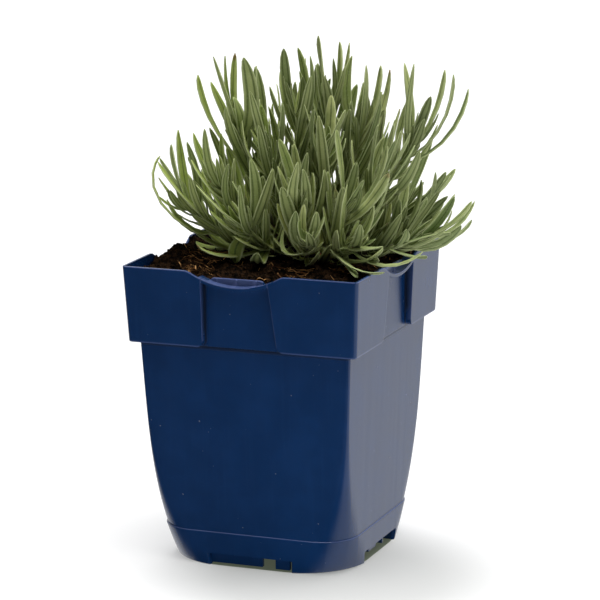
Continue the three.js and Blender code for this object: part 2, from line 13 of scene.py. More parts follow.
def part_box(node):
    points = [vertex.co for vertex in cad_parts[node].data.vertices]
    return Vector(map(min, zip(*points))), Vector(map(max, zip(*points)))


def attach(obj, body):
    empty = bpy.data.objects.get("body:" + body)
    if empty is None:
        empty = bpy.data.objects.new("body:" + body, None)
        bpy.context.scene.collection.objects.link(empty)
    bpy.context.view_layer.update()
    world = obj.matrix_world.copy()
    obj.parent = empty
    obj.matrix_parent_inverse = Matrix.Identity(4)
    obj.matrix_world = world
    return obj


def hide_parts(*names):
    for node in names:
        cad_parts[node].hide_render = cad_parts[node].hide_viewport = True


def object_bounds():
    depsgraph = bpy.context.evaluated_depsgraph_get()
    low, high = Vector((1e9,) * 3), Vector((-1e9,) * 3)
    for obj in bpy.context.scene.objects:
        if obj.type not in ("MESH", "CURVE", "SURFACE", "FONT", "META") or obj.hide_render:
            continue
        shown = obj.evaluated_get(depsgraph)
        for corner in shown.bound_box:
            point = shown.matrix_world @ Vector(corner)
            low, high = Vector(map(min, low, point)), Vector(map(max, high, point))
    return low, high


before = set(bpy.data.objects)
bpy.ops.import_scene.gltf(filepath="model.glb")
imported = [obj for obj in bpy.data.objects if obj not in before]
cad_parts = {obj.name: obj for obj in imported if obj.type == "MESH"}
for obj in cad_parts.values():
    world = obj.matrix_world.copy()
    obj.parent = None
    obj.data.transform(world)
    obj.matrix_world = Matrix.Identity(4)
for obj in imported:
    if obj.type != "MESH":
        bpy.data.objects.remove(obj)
solid_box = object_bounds()
scene = bpy.context.scene

# ---- The pot ----
# One injection-moulded shell of dark blue plastic. The body tapers and its corners grow round
# towards the foot; the rim is stepped out, with a recessed panel in the middle of each side, a dipped
# grip with a curved lip over it, and a tab with three fine ribs that stands up behind the lip.
POT_HEIGHT = 135
RIM_HALF = 55
WALL = 1.3
SHOULDER = 101  # height of the rim's lower edge
RIM_DRAFT = 1.7
RIM_CORNER = 2.5
FOOT_HALF = 44.3
FOOT_CORNER = 30
BODY_TOP_HALF = 49.3
BODY_CORNER = 1.5
ROUNDING_STARTS = 85
LEDGE = {"height": 15.6, "step": 0.5}
PANEL_HALF = 50.8
PANEL = {"upright": -17.4, "slant_top": 13.2, "slant_foot": 17.4, "round": 3}
GRIP = {"middle": -1.8, "chord": 44, "dip": 6.2, "lip": 1.8, "soft": 0.35}
TAB = {"left": -14.7, "right": 10.3, "top": 131.8, "corner": 2}
RIBS = (-11.2, -2.2, 6.8)
RIB_PROUD = 0.25
FLOOR_LOW, FLOOR_HIGH = 6, 7.4
ARCH = {"half": 19.5, "height": 5.5, "round": 1.2}
EDGE_ROUND, INNER_ROUND = 0.3, 0.4  # the foot's lower edge, and where wall and floor meet

pot_low, pot_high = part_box("pot")
POT_AXIS = Vector(((pot_low.x + pot_high.x) / 2, (pot_low.y + pot_high.y) / 2, 0))
TO_METRES = Matrix.Translation(POT_AXIS) @ Matrix.Scale(0.001, 4)


def rolled_sheet(bm, around, along, spot):
    """A grid rolled up: vertex i of a ring and ring j go to spot(i, j), and what meets is welded."""
    made = bmesh.ops.create_grid(bm, x_segments=around, y_segments=along, size=1)["verts"]
    for v in made:
        i = round((v.co.x + 1) / 2 * around)
        j = round((v.co.y + 1) / 2 * along)
        v.co = spot(i % around, j)
    bmesh.ops.remove_doubles(bm, verts=made, dist=1e-4)


def close_ends(bm):
    bmesh.ops.holes_fill(bm, edges=[e for e in bm.edges if e.is_boundary], sides=0)


def add_object(name, bm, *materials):
    mesh = bpy.data.meshes.new(name)
    bm.to_mesh(mesh)
    bm.free()
    for material in materials:
        mesh.materials.append(material)
    made = bpy.data.objects.new(name, mesh)
    scene.collection.objects.link(made)
    return made


def put_in_place(name, bm, *materials):
    """The finished object, from millimetres round the pot's axis to its place in the part."""
    bmesh.ops.transform(bm, matrix=TO_METRES, verts=bm.verts)
    return add_object(name, bm, *materials)


def add_piece(name, bm, *materials):
    piece = put_in_place(name, bm, *materials)
    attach(piece, "root")
    return piece


def body_half(z):
    return FOOT_HALF + (BODY_TOP_HALF - FOOT_HALF) * min(z, SHOULDER) / SHOULDER


def body_corner(z):
    return BODY_CORNER + (FOOT_CORNER - BODY_CORNER) * max(0, 1 - z / ROUNDING_STARTS) ** 3


def rim_half(z):
    return RIM_HALF - RIM_DRAFT * (1 - (z - SHOULDER) / (POT_HEIGHT - SHOULDER))


def girth(half, radius):
    """Half the way round one side, to the middle of its corner."""
    return half - radius + radius * math.pi / 4


def on_ring(s, half, radius):
    """The spot at a way s along the side that faces -Y, counted from its middle."""
    straight = half - radius
    if abs(s) <= straight:
        return s, -half
    turn = (abs(s) - straight) / radius
    return math.copysign(straight + radius * math.sin(turn), s), -straight - radius * math.cos(turn)


RIM_GIRTH = girth(RIM_HALF, RIM_CORNER)
FOOT_GIRTH = girth(FOOT_HALF, FOOT_CORNER)
PLAIN = 27  # beyond this way from a side's middle the rim is plain

# The columns of one side, left to right, as ways along the rim: close together where it turns.
EDGE_COLUMNS = [54, 53.5, 53, 52.4, 51.5, 49.5, 47, 44, 40, 36, 33, 30.6]
ARCH_COLUMNS = [(30.001, 0), (30, 1), (29.7, 1), (29.2, 1), (28, 1)]  # way, and inside the arch or not
GRIP_COLUMNS = [-26, -25, -24.3, -23.8, -23.3, -22.5, -21.4, -20.2]
FLANK_COLUMNS = [  # way, share of the recess outside, share of it inside
    (-19.1, 0, 0), (-18.8, 0, 0), (-18.7, 0, 0.1), (-18.69, 0, 0.9), (-18.55, 0, 1),
    (-17.8, 0, 1), (-17.5, 0.02, 1), (-17.4, 0.12, 1), (-17.39, 0.9, 1), (-17.25, 0.98, 1), (-17, 1, 1),
    (-15.9, 1, 1),
]
SLANT_COLUMNS = [
    (11.7, 1, 1), (12.8, 1, 1), (13.05, 0.98, 1), (13.19, 0.9, 1), (13.2, 0.12, 1), (13.3, 0.02, 1),
    (13.6, 0, 1), (14.35, 0, 1), (14.49, 0, 0.9), (14.5, 0, 0.1), (14.7, 0, 0),
]
TAB_COLUMNS = [-14.9, -14.5, -14.4, -14.25, -14, -13.6, -12.9, -10, -7.5, -5, -0.5, 2, 4.5,
               8.5, 9.2, 9.6, 9.85, 10, 10.1, 10.5]
RIB_OFFSETS = [(-0.5, 0), (-0.26, 0), (-0.16, 1), (0.16, 1), (0.26, 0), (0.5, 0)]
FAR_GRIP_COLUMNS = [16, 17.5, 18.8, 19.7, 20.3, 21.2, 22.4, 24, 26]
# Heights of the rings: over the foot, up the body, up the panel under the lip, then down the inside.
FOOT_RINGS = (0.3, 2.5, 5.5)
LOW_RINGS = (9, 12, 14.6, 15.3)
LEDGE_RINGS = ((15.5, 0.42), (15.65, 0.25), (15.75, 0.05))  # height, how far out
BODY_RINGS = (16.2, 19, 23, 27, 31, 36, 41, 47, 54, 62, 71, 81, 91, 99, 100.6)
PANEL_RINGS = (0.08, 0.22, 0.4, 0.6, 0.8, 0.93, 1)  # shares of the way
LIP_RINGS = ((1.15, 0.06), (1.05, 0.2), (1, 0.86), (0.9, 0.97), (0.7, 1), (0.3, 1))  # depth, reach
RIM_INSIDE_RINGS = (127.5, 124, 118, 110, SHOULDER + WALL + 0.4)
INSIDE_RINGS = (SHOULDER + WALL, 90, 60, 35, 15, FLOOR_HIGH)


def column(s, outer=0, inner=0, rib=0, arch=0):
    """A way along the rim, how far it lies in the recess outside and inside, on a rib, in the arch."""
    return s, outer, inner, rib, arch


def side_columns():
    columns = [column(-s) for s in EDGE_COLUMNS] + [column(-s, arch=arch) for s, arch in ARCH_COLUMNS]
    columns += [column(s, arch=1) for s in GRIP_COLUMNS]
    columns += [column(*flank, arch=1) for flank in FLANK_COLUMNS + SLANT_COLUMNS]
    columns += [column(s, 1, 1, arch=1) for s in TAB_COLUMNS]
    columns += [column(rib + off, 1, 1, proud, 1) for rib in RIBS for off, proud in RIB_OFFSETS]
    columns += [column(s, arch=1) for s in FAR_GRIP_COLUMNS]
    columns += [column(s, arch=arch) for s, arch in ARCH_COLUMNS] + [column(s) for s in EDGE_COLUMNS]
    return [column(-RIM_GIRTH)] + sorted(columns, key=lambda each: each[0])


SIDE = side_columns()


def grip_height(s):
    """Height of the rim's top edge, softly rounded where the grip's arc meets the straight edge."""
    half = GRIP["chord"] / 2
    radius = (half**2 + GRIP["dip"] ** 2) / (2 * GRIP["dip"])
    off = min(abs(s - GRIP["middle"]), radius * 0.9)
    arc = POT_HEIGHT - GRIP["dip"] + radius - math.sqrt(radius**2 - off**2)
    soft = GRIP["soft"]
    return -soft * math.log(math.exp(-(arc - POT_HEIGHT) / soft) + 1) + POT_HEIGHT


def rounded(radius, inside):
    """How far a rounded corner has risen at a distance inside its edge."""
    return math.sqrt(max(0, radius**2 - (radius - min(inside, radius)) ** 2))


def tab_height(s, edge):
    """How far the tab stands above the edge at s."""
    inside = min(s - TAB["left"], TAB["right"] - s)
    if inside <= 0:
        return 0
    drop = TAB["corner"] - rounded(TAB["corner"], inside)
    return max(0, TAB["top"] - drop - edge)


WAYS_AT_RIM = [0, 25, 28, 29.2, 29.7, 30, 30.6, 36, 47, 52.4, 54, RIM_GIRTH]
WAYS_AT_FOOT = [0, 17, 18.3, 18.9, 19.3, 19.5, 19.8, 21.6, 27, 33.5, 37, FOOT_GIRTH]


def foot_way(s):
    """Where a column stands at the foot, from its way along the rim."""
    return math.copysign(np.interp(abs(s), WAYS_AT_RIM, WAYS_AT_FOOT), s)


def squeezed(s, reach):
    """A way beyond PLAIN, squeezed so that the last one falls on the corner's middle."""
    return math.copysign(PLAIN + (abs(s) - PLAIN) * (reach - PLAIN) / (RIM_GIRTH - PLAIN), s)


def shifted(s, z, flare):
    """The recess's edges slant and flare; the columns between them follow."""
    rise = min(max((z - SHOULDER) / (POT_HEIGHT - SHOULDER), 0), 1)
    slant = (PANEL["slant_foot"] - PANEL["slant_top"]) * (1 - rise) + flare
    return float(np.interp(s, [-PLAIN, -18.9, -15.9, 11.7, 14.7, PLAIN],
                           [-PLAIN, -18.9 - flare, -15.9 - flare, 11.7 + slant, 14.7 + slant, PLAIN]))


def side_profile(s, outer, inner, rib, arched):
    """The rings that one column crosses, from the floor's underside round the foot and the rim to the
    floor's top: (way, half width, corner radius, height)."""
    edge = grip_height(s)
    tab = tab_height(s, edge) if inner == 1 and outer == 1 else 0
    rib *= RIB_PROUD
    rings = []

    def body(z, out=0.0, corner=None):
        half = body_half(z) + out
        radius = body_corner(max(z, 0)) if corner is None else corner
        share = z / SHOULDER
        share = share * share * (3 - 2 * share)
        low = foot_way(s) / FOOT_GIRTH
        high_girth = girth(BODY_TOP_HALF, BODY_CORNER)
        high = (s if abs(s) < PLAIN else squeezed(s, high_girth)) / high_girth
        rings.append(((low + (high - low) * share) * girth(half, radius), half, radius, z))

    def rim(z, half, radius, flare=0.0):
        way = squeezed(s, girth(half, radius)) if abs(s) > PLAIN else shifted(s, z, flare)
        rings.append((way, half, radius, z))

    # under the floor and down inside the foot, over its lower edge, up the body
    arch = 0
    if arched:
        arch = ARCH["height"] - ARCH["round"] + rounded(ARCH["round"], ARCH["half"] - abs(foot_way(s)))
    body(FLOOR_LOW, -body_half(FLOOR_LOW), 0)
    body(FLOOR_LOW, -WALL - INNER_ROUND, body_corner(FLOOR_LOW) - WALL)
    body(FLOOR_LOW - INNER_ROUND, -WALL, body_corner(FLOOR_LOW) - WALL)
    body(min(arch + EDGE_ROUND, FLOOR_LOW - INNER_ROUND), -WALL, body_corner(arch) - WALL)
    body(arch, EDGE_ROUND - WALL, body_corner(arch) - WALL)
    step = LEDGE["step"]
    body(arch, step - EDGE_ROUND)
    for z in FOOT_RINGS:
        body(arch + z * (LOW_RINGS[0] - arch) / LOW_RINGS[0], step)
    for z in LOW_RINGS:
        body(z, step)
    for z, out in LEDGE_RINGS:
        body(z, out)
    for z in BODY_RINGS:
        body(z)
    body(SHOULDER - 0.1, 0.12)
    # out under the rim and up its face, or up the panel in the recess
    face = lambda z: rim_half(z) + (PANEL_HALF - rim_half(z)) * outer
    radius = RIM_CORNER
    round_out = PANEL["round"]
    flare = lambda z: round_out * (1 - math.sqrt(1 - max(0, 1 - (z - SHOULDER) / round_out) ** 2))
    rim(SHOULDER, body_half(SHOULDER) + 0.35, BODY_CORNER + 0.3, round_out)
    rim(SHOULDER, face(SHOULDER) - 0.4, radius - 0.4, round_out)
    rim(SHOULDER + 0.12, face(SHOULDER) - 0.1, radius - 0.1, flare(SHOULDER + 0.12))
    rim(SHOULDER + 0.4, face(SHOULDER), radius, flare(SHOULDER + 0.4))
    for z in (0.9, 1.5, 2.2, 3.1):
        rim(SHOULDER + z, face(SHOULDER + z), radius, flare(SHOULDER + z))
    under_lip = edge - GRIP["lip"] - 1
    for share in PANEL_RINGS:
        z = SHOULDER + 3.1 + (under_lip - SHOULDER - 3.1) * share
        rim(z, face(z), radius)
    # the lip: out over the recess, up its own face and back in
    top = rim_half(edge)
    for below, reach in LIP_RINGS:
        z = edge - GRIP["lip"] * below
        level = rim_half(z)
        rim(z, level - (level - PANEL_HALF) * outer * (1 - reach), radius)
    rim(edge - 0.1, top - 0.1, radius - 0.1)
    rim(edge, top - 0.38, radius - 0.38)
    back = (PANEL_HALF - top) * inner
    for share, lift in ((0.9, 0), (0.99, 0.12), (1, 0.3)):
        half = top - 0.85 + (back + 0.85) * share * inner + rib * share
        rim(edge + min(tab, lift), half, max(radius - 1, 0.4))
    rim(edge + max(tab - 0.3, min(tab, 0.35)), top - 1 + (back + 1) * inner + rib, 1.2)
    rim(edge + tab, top - 1.1 + (back + 0.95) * inner + rib * 0.6, 1.2)
    inside = lambda z: rim_half(z) - WALL + (PANEL_HALF - rim_half(z)) * inner
    rim(edge + tab, inside(edge) + 0.1, 1.2)
    rim(edge + max(tab - 0.2, -0.3), inside(edge), 1.2)
    for z in RIM_INSIDE_RINGS:
        rim(z, inside(z), 1.2)
    rim(SHOULDER + WALL, inside(SHOULDER + WALL) - 0.3, 1.2)
    for z in INSIDE_RINGS:
        body(z, -WALL, max(body_corner(z) - WALL, 0.4))
    body(FLOOR_HIGH, -body_half(FLOOR_HIGH), 0)
    return rings


def quarter(x, y, turns):
    for _ in range(turns):
        x, y = -y, x
    return x, y


def hand(turns):
    """Two of the pot's sides are mirror images of the others."""
    return -1 if turns % 2 else 1


def pot_columns():
    """Every column of the pot, the way round it."""
    columns = []
    for turns in range(4):
        for k, each in enumerate([SIDE[0]] + (SIDE[:0:-1] if hand(turns) < 0 else SIDE[1:])):
            flip = hand(turns) if k else 1
            columns.append([(*quarter(*on_ring(way * flip, half, radius), turns), z)
                            for way, half, radius, z in side_profile(*each)])
    return columns


pot_bm = bmesh.new()
worn = pot_bm.verts.layers.float.new("worn")  # 1 where a highlight is painted pale: edges, ribs, the tab, the ledge
deep = pot_bm.verts.layers.float.new("deep")  # 1 where shade is painted dark: the recess's inner corners and under the rim
HIGHLIGHT_PAINT = {"rib": 0.95, "tab": 0.5, "edge": 0.6, "ledge": 0.45, "flank": 0.3}
columns = pot_columns()
rolled_sheet(pot_bm, len(columns), len(columns[0]) - 1, lambda i, j: columns[i][j])
for v in pot_bm.verts:
    x, y, z = v.co
    side = min(range(4), key=lambda turns: quarter(x, y, (4 - turns) % 4)[1])
    way, out = quarter(x, y, (4 - side) % 4)
    way *= hand(side)
    out = -out
    edge = grip_height(way)
    # Painted highlights: pale on the tab and its ribs, the rim's top edge, the ledge, the flap edges and the
    # rim's lower edge.
    if TAB["left"] < way < TAB["right"] and z > edge - 0.3 and out < RIM_HALF - 1.3:
        crest = min(abs(way - rib) for rib in RIBS) < 0.2 or z > TAB["top"] - 0.25
        v[worn] = HIGHLIGHT_PAINT["rib" if crest else "tab"]
    elif edge - 0.2 < z and out > rim_half(z) - 0.6:
        v[worn] = HIGHLIGHT_PAINT["edge"]
    elif abs(z - LEDGE["height"]) < 0.15:
        v[worn] = HIGHLIGHT_PAINT["ledge"]
    # Painted shade: dark in the recess's inner corners and just under the rim.
    beside = min(abs(way - PANEL["upright"]), abs(way - shifted(PANEL["slant_top"], z, 0)))
    sunk = rim_half(z) - out  # how far inside the rim's face it lies
    on_flank = SHOULDER + 3 < z < edge and beside < 0.3 and sunk < 0.7
    on_lower_edge = SHOULDER - 0.01 < z < SHOULDER + 0.5 and sunk < 0.5
    in_recess_corner = SHOULDER + 0.3 < z < edge - 2 and beside < 0.5 and 2.5 < sunk < 4.7
    under_rim = SHOULDER - 0.5 < z < SHOULDER + 0.1 and sunk > 1
    if on_flank or on_lower_edge:
        v[worn] = HIGHLIGHT_PAINT["flank"]
    elif in_recess_corner or under_rim:
        v[deep] = 1
bmesh.ops.dissolve_degenerate(pot_bm, edges=pot_bm.edges, dist=1e-4)
bmesh.ops.recalc_face_normals(pot_bm, faces=pot_bm.faces)

# The floor inside has drain holes, and short feet stand under it.
DRAIN_RADIUS, DRAIN_REACH = 3.6, 27
drills = bmesh.new()
for x, y in ((0, 0), (1, 0), (-1, 0), (0, 1), (0, -1)):
    middle = Matrix.Translation((DRAIN_REACH * x, DRAIN_REACH * y, (FLOOR_LOW + FLOOR_HIGH) / 2))
    bmesh.ops.create_cone(drills, cap_ends=True, segments=28, radius1=DRAIN_RADIUS,
                          radius2=DRAIN_RADIUS, depth=5, matrix=middle)
# Each: start and end along the side, outer and inner distance, lower end.
POSTS = [(-20.8, -19.5, 44, 37, 0), (19.5, 20.8, 44, 37, 0)]
LONG_FEET = [(-19.6, -8.6, 42.2, 40.4, 0.7), (-8.6, 5.1, 42.6, 40.4, 0.8), (11.2, 18, 42.6, 40.4, 0.5)]
SHORT_FEET = [(-1.5, 8, 42.2, 40.4, 1.7), (-8.8, -7.5, 43, 38, 1.5)]
FEET_TOP = FLOOR_LOW + 0.3
FEET_BEVEL = 0.25
for turns in range(4):
    for start, end, outer, inner, low in POSTS + (SHORT_FEET if hand(turns) < 0 else LONG_FEET):
        x, y = quarter(hand(turns) * (start + end) / 2, -(outer + inner) / 2, turns)
        wide, long = quarter(end - start, outer - inner, turns)
        size = Matrix.Diagonal((abs(wide), abs(long), FEET_TOP - low, 1))
        place = Matrix.Translation((x, y, (FEET_TOP + low) / 2))
        foot = bmesh.ops.create_cube(pot_bm, size=1, matrix=place @ size)
        edges = list({e for v in foot["verts"] for e in v.link_edges})
        bmesh.ops.bevel(pot_bm, geom=edges, offset=FEET_BEVEL, segments=2, profile=0.5,
                        affect="EDGES", material=-1)


# The finishes are written as shader maths.
def plug(value, socket):
    """Links a value to a socket, or sets the socket to it where it is a constant."""
    if isinstance(value, Value):
        socket.id_data.links.new(value.socket, socket)
    else:
        socket.default_value = value


class Value:
    """A socket whose arithmetic adds Math nodes to its own material."""

    def __init__(self, socket):
        self.socket = socket

    def maths(self, operation, *values):
        made = self.socket.id_data.nodes.new("ShaderNodeMath")
        made.operation = operation
        for value, socket in zip(values, made.inputs):
            plug(value, socket)
        return Value(made.outputs[0])

    __add__ = __radd__ = lambda self, other: self.maths("ADD", self, other)
    __mul__ = __rmul__ = lambda self, other: self.maths("MULTIPLY", self, other)
    __sub__ = lambda self, other: self.maths("SUBTRACT", self, other)
    __rsub__ = lambda self, other: self.maths("SUBTRACT", other, self)
    __abs__ = lambda self: self.maths("ABSOLUTE", self)

    def rise(self, low, high):
        """From 0 below low to 1 above high, smoothly."""
        made = self.socket.id_data.nodes.new("ShaderNodeMapRange")
        made.interpolation_type = "SMOOTHSTEP"
        for key, value in (("Value", self), ("From Min", low), ("From Max", high)):
            plug(value, made.inputs[key])
        return Value(made.outputs[0])


class Finish:
    """One material. node() adds any node to it; paint() mixes colours."""

    def __init__(self, name, **constants):
        self.material = bpy.data.materials.new(name)
        self.material.use_nodes = True
        self.nodes = self.material.node_tree.nodes
        self.shader = self.nodes["Principled BSDF"]
        self.feed(**constants)
        self.place = self.node("ShaderNodeTexCoord", output="Object")

    def node(self, kind, settings=(), output=0, **inputs):
        made = self.nodes.new(kind)
        for key, value in dict(settings).items():
            setattr(made, key, value)
        for key, value in inputs.items():
            plug(value, made.inputs[key.replace("_", " ")])
        return Value(made.outputs[output])

    def noise(self, scale, detail=3.0, stretch=(1, 1, 1), roughness=0.55):
        spot = self.node("ShaderNodeMapping", Vector=self.place, Scale=stretch)
        return self.node("ShaderNodeTexNoise", Vector=spot, Scale=scale, Detail=detail, Roughness=roughness)

    def attribute(self, name):
        return self.node("ShaderNodeAttribute", {"attribute_name": name}, output="Fac")

    def paint(self, share, first, second):
        made = self.nodes.new("ShaderNodeMix")
        made.data_type = "RGBA"
        for k, value in ((0, share), (6, first), (7, second)):
            plug((*value, 1) if isinstance(value, tuple) else value, made.inputs[k])
        return Value(made.outputs[2])

    def coats(self, colour, *coats):
        """A colour with others over it, each with the share that it covers."""
        for share, over in coats:
            colour = self.paint(share, colour, over)
        return colour

    def feed(self, **inputs):
        for key, value in inputs.items():
            plug(value, self.shader.inputs[key.replace("_", " ")])

    def bump(self, height, distance, strength=1.0):
        self.feed(Normal=self.node("ShaderNodeBump", Height=height, Distance=distance, Strength=strength))


# Dark blue polypropylene with a satin skin: fine moulding grain, cloudy patches where it was handled, faint
# upright flow lines and a little soil dust, with pale highlights painted on its edges, ribs and tab, and dark
# shade painted in the recess corners and under the rim.
moulded = Finish("moulded_blue", Roughness=0.4, Specular_IOR_Level=0.45)
cloud = moulded.noise(55, 4)
flow = moulded.noise(450, 2, (1, 1, 0.015))
wave = moulded.noise(130, 2, (1, 1, 0.03))
specks = moulded.noise(520, 2, roughness=0.4).rise(0.77, 0.8)
shade_mask = moulded.attribute("deep")
moulded.feed(Base_Color=moulded.coats(
    moulded.paint(cloud.rise(0.35, 0.7), (0.0003, 0.0205, 0.084), (0.0004, 0.0245, 0.1)),
    (flow.rise(0.5, 0.8) * 0.16, (0.004, 0.036, 0.13)),
    # painted highlights on the edges, ribs and tab
    (moulded.attribute("worn") * 0.7, (0.15, 0.19, 0.4)),
    # painted shade in the recess corners and under the rim
    (shade_mask * 0.85, (0.0004, 0.004, 0.016)),
    (specks * 0.6, (0.16, 0.17, 0.2)),  # dust
))
moulded.feed(Roughness=0.19 + cloud * 0.07 + flow * 0.05 + specks * 0.3 + shade_mask * 0.3)
moulded.bump(moulded.noise(2600, 2) * 0.4 + flow * 0.35 + wave * 3, 0.00006, 0.5)

pot = add_piece("moulded_pot", pot_bm, moulded.material)
cutter = put_in_place("drills", drills)
bore = pot.modifiers.new("drains", "BOOLEAN")
bore.object = cutter
bore.solver = "EXACT"
bpy.context.view_layer.update()
pot.data = bpy.data.meshes.new_from_object(pot.evaluated_get(bpy.context.evaluated_depsgraph_get()))
pot.modifiers.clear()
bpy.data.objects.remove(cutter)
pot.data.polygons.foreach_set("use_smooth", [True] * len(pot.data.polygons))
pot.data.set_sharp_from_angle(angle=math.radians(38))
evened = pot.modifiers.new("evened", "WEIGHTED_NORMAL")
evened.keep_sharp = True
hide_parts("pot")


# ---- The soil ----
# Dark, moist potting soil that fills the pot to just under its edge: a crumbly mound, heaped against
# the left side, with loose crumbs, bits of bark and brown fibres lying in it.
SOIL = {"edge": 129.8, "mound": 3.2, "rough": 1.1}
HEAP = {"x": -45, "y": -14, "height": 6, "spread": 8}
SOIL_CELLS = 190
SOIL_HALF = 52.9
BANK = {"height": 4.2, "reach": 9, "from": -8, "to": 46}  # soil banked against the left wall
SOIL_RINGS = (126.5, 124, SHOULDER, 80, 60, 44, 32, 22, 12, FLOOR_HIGH + 0.3)


def draws(seed):
    """Repeatable draws from 0 to 1."""
    state, prime = seed, 2**31 - 1

    def draw():
        nonlocal state
        state = state * 48271 % prime
        return state / prime

    return draw


def soil_height(x, y):
    out = math.hypot(x, y) / RIM_HALF
    lumps = (
        math.sin(x * 0.31 + 1.3) * math.cos(y * 0.27 - 0.6)
        + 0.6 * math.sin(x * 0.71 - y * 0.53 + 0.9)
        + 0.4 * math.cos(x * 1.13 + y * 0.97)
    )
    away = (x - HEAP["x"]) ** 2 + (y - HEAP["y"]) ** 2
    heap = HEAP["height"] * math.exp(-away / (2 * HEAP["spread"] ** 2))
    return SOIL["edge"] + SOIL["mound"] * max(0, 1 - out * out) + SOIL["rough"] * 0.5 * lumps + heap


def crumbs(x, y):
    """Loose crumbs of several sizes on the soil's face, and the bank against the left wall."""
    coarse = noise.noise((x * 0.3, y * 0.3, 2.7))
    middle = abs(noise.noise((x * 0.75, y * 0.75, 8.1)))
    fine = abs(noise.noise((x * 1.7, y * 1.7, 4.4)))
    ends = min(1, max(0, (y - BANK["from"]) / 8)) * min(1, max(0, (BANK["to"] - y) / 6))
    bank = BANK["height"] * ends * math.exp(-((x + SOIL_HALF) / BANK["reach"]) ** 2)
    return bank + 1.3 * coarse + 2.1 * middle + 0.9 * fine - 0.5


def in_recess(x, y):
    """Whether a spot lies outside the wall, in the recess of one of the pot's sides."""
    for turns in range(4):
        if y < -PANEL_HALF + WALL + 0.25 and -19.2 < x * hand(turns) < 15.2:
            return True
        x, y = y, -x
    return False


def wall_reach(x, y, z):
    """How much of the way out from the axis to (x, y) stays inside the pot's wall at height z."""
    half = body_half(z) - WALL - 0.3
    radius = max(body_corner(z) - WALL, 0.4)
    wide, narrow = max(abs(x), abs(y)), min(abs(x), abs(y))
    straight = half / wide
    if narrow * straight <= half - radius:
        return straight
    centre = (half - radius) * (wide + narrow)
    square = wide * wide + narrow * narrow
    return (centre + math.sqrt(max(0, centre**2 - square * (2 * (half - radius) ** 2 - radius**2)))) / square


soil_bm = bmesh.new()
ground = bmesh.ops.create_grid(soil_bm, x_segments=SOIL_CELLS, y_segments=SOIL_CELLS, size=SOIL_HALF)["verts"]
for v in ground:
    v.co.z = soil_height(v.co.x, v.co.y) + crumbs(v.co.x, v.co.y)
stray = [f for f in soil_bm.faces if in_recess(*f.calc_center_median().xy)]
bmesh.ops.delete(soil_bm, geom=stray, context="FACES")
edges = [e for e in soil_bm.edges if e.is_boundary]
for z in SOIL_RINGS:
    new = bmesh.ops.extrude_edge_only(soil_bm, edges=edges)["geom"]
    edges = [e for e in new if isinstance(e, bmesh.types.BMEdge)]
    for v in {v for e in edges for v in e.verts}:
        share = 0.995 if z > 126 else min(1, wall_reach(v.co.x, v.co.y, min(z, SHOULDER)))
        v.co = (v.co.x * share, v.co.y * share, z)
bmesh.ops.holes_fill(soil_bm, edges=edges, sides=0)
bmesh.ops.recalc_face_normals(soil_bm, faces=soil_bm.faces)

earth = Finish("potting_soil", Roughness=0.95, Specular_IOR_Level=0.04)
clod = earth.noise(340, 5, roughness=0.65)
peat = earth.noise(1500, 3)
earth.feed(Base_Color=earth.coats(
    earth.paint(clod.rise(0.42, 0.66), (0.0016, 0.0012, 0.0009), (0.034, 0.0175, 0.008)),
    (peat.rise(0.62, 0.74) * 0.6, (0.1, 0.045, 0.015)),
))
earth.bump(clod + peat * 0.5, 0.0009, 1.0)
soil = add_piece("potting_soil", soil_bm, earth.material)
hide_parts("soil")

# Loose crumbs, pressed a little into the soil's face.
CRUMBS, FIBRES = 900, 260
litter = draws(4409)


def litter_spot(margin):
    while True:
        x, y = ((litter() * 2 - 1) * (SOIL_HALF - margin) for _ in range(2))
        if not in_recess(x * (1 + margin / 50), y * (1 + margin / 50)):
            return x, y


crumb_bm = bmesh.new()
for _ in range(CRUMBS):
    x, y = litter_spot(2)
    size = 0.35 + 1.1 * litter() ** 3
    spot = Matrix.Translation((x, y, soil_height(x, y) + crumbs(x, y) + size * 0.2))
    turn = Matrix.Rotation(litter() * 6.3, 4, "Z") @ Matrix.Rotation(litter() * 3, 4, "X")
    flat = Matrix.Diagonal((1, 0.6 + 0.4 * litter(), 0.45 + 0.4 * litter(), 1))
    made = bmesh.ops.create_icosphere(crumb_bm, subdivisions=1, radius=size, matrix=spot @ turn @ flat)
    for v in made["verts"]:
        v.co += Vector((litter() - 0.5, litter() - 0.5, litter() - 0.5)) * size * 0.5
crumb_piece = add_piece("soil_crumbs", crumb_bm, earth.material)

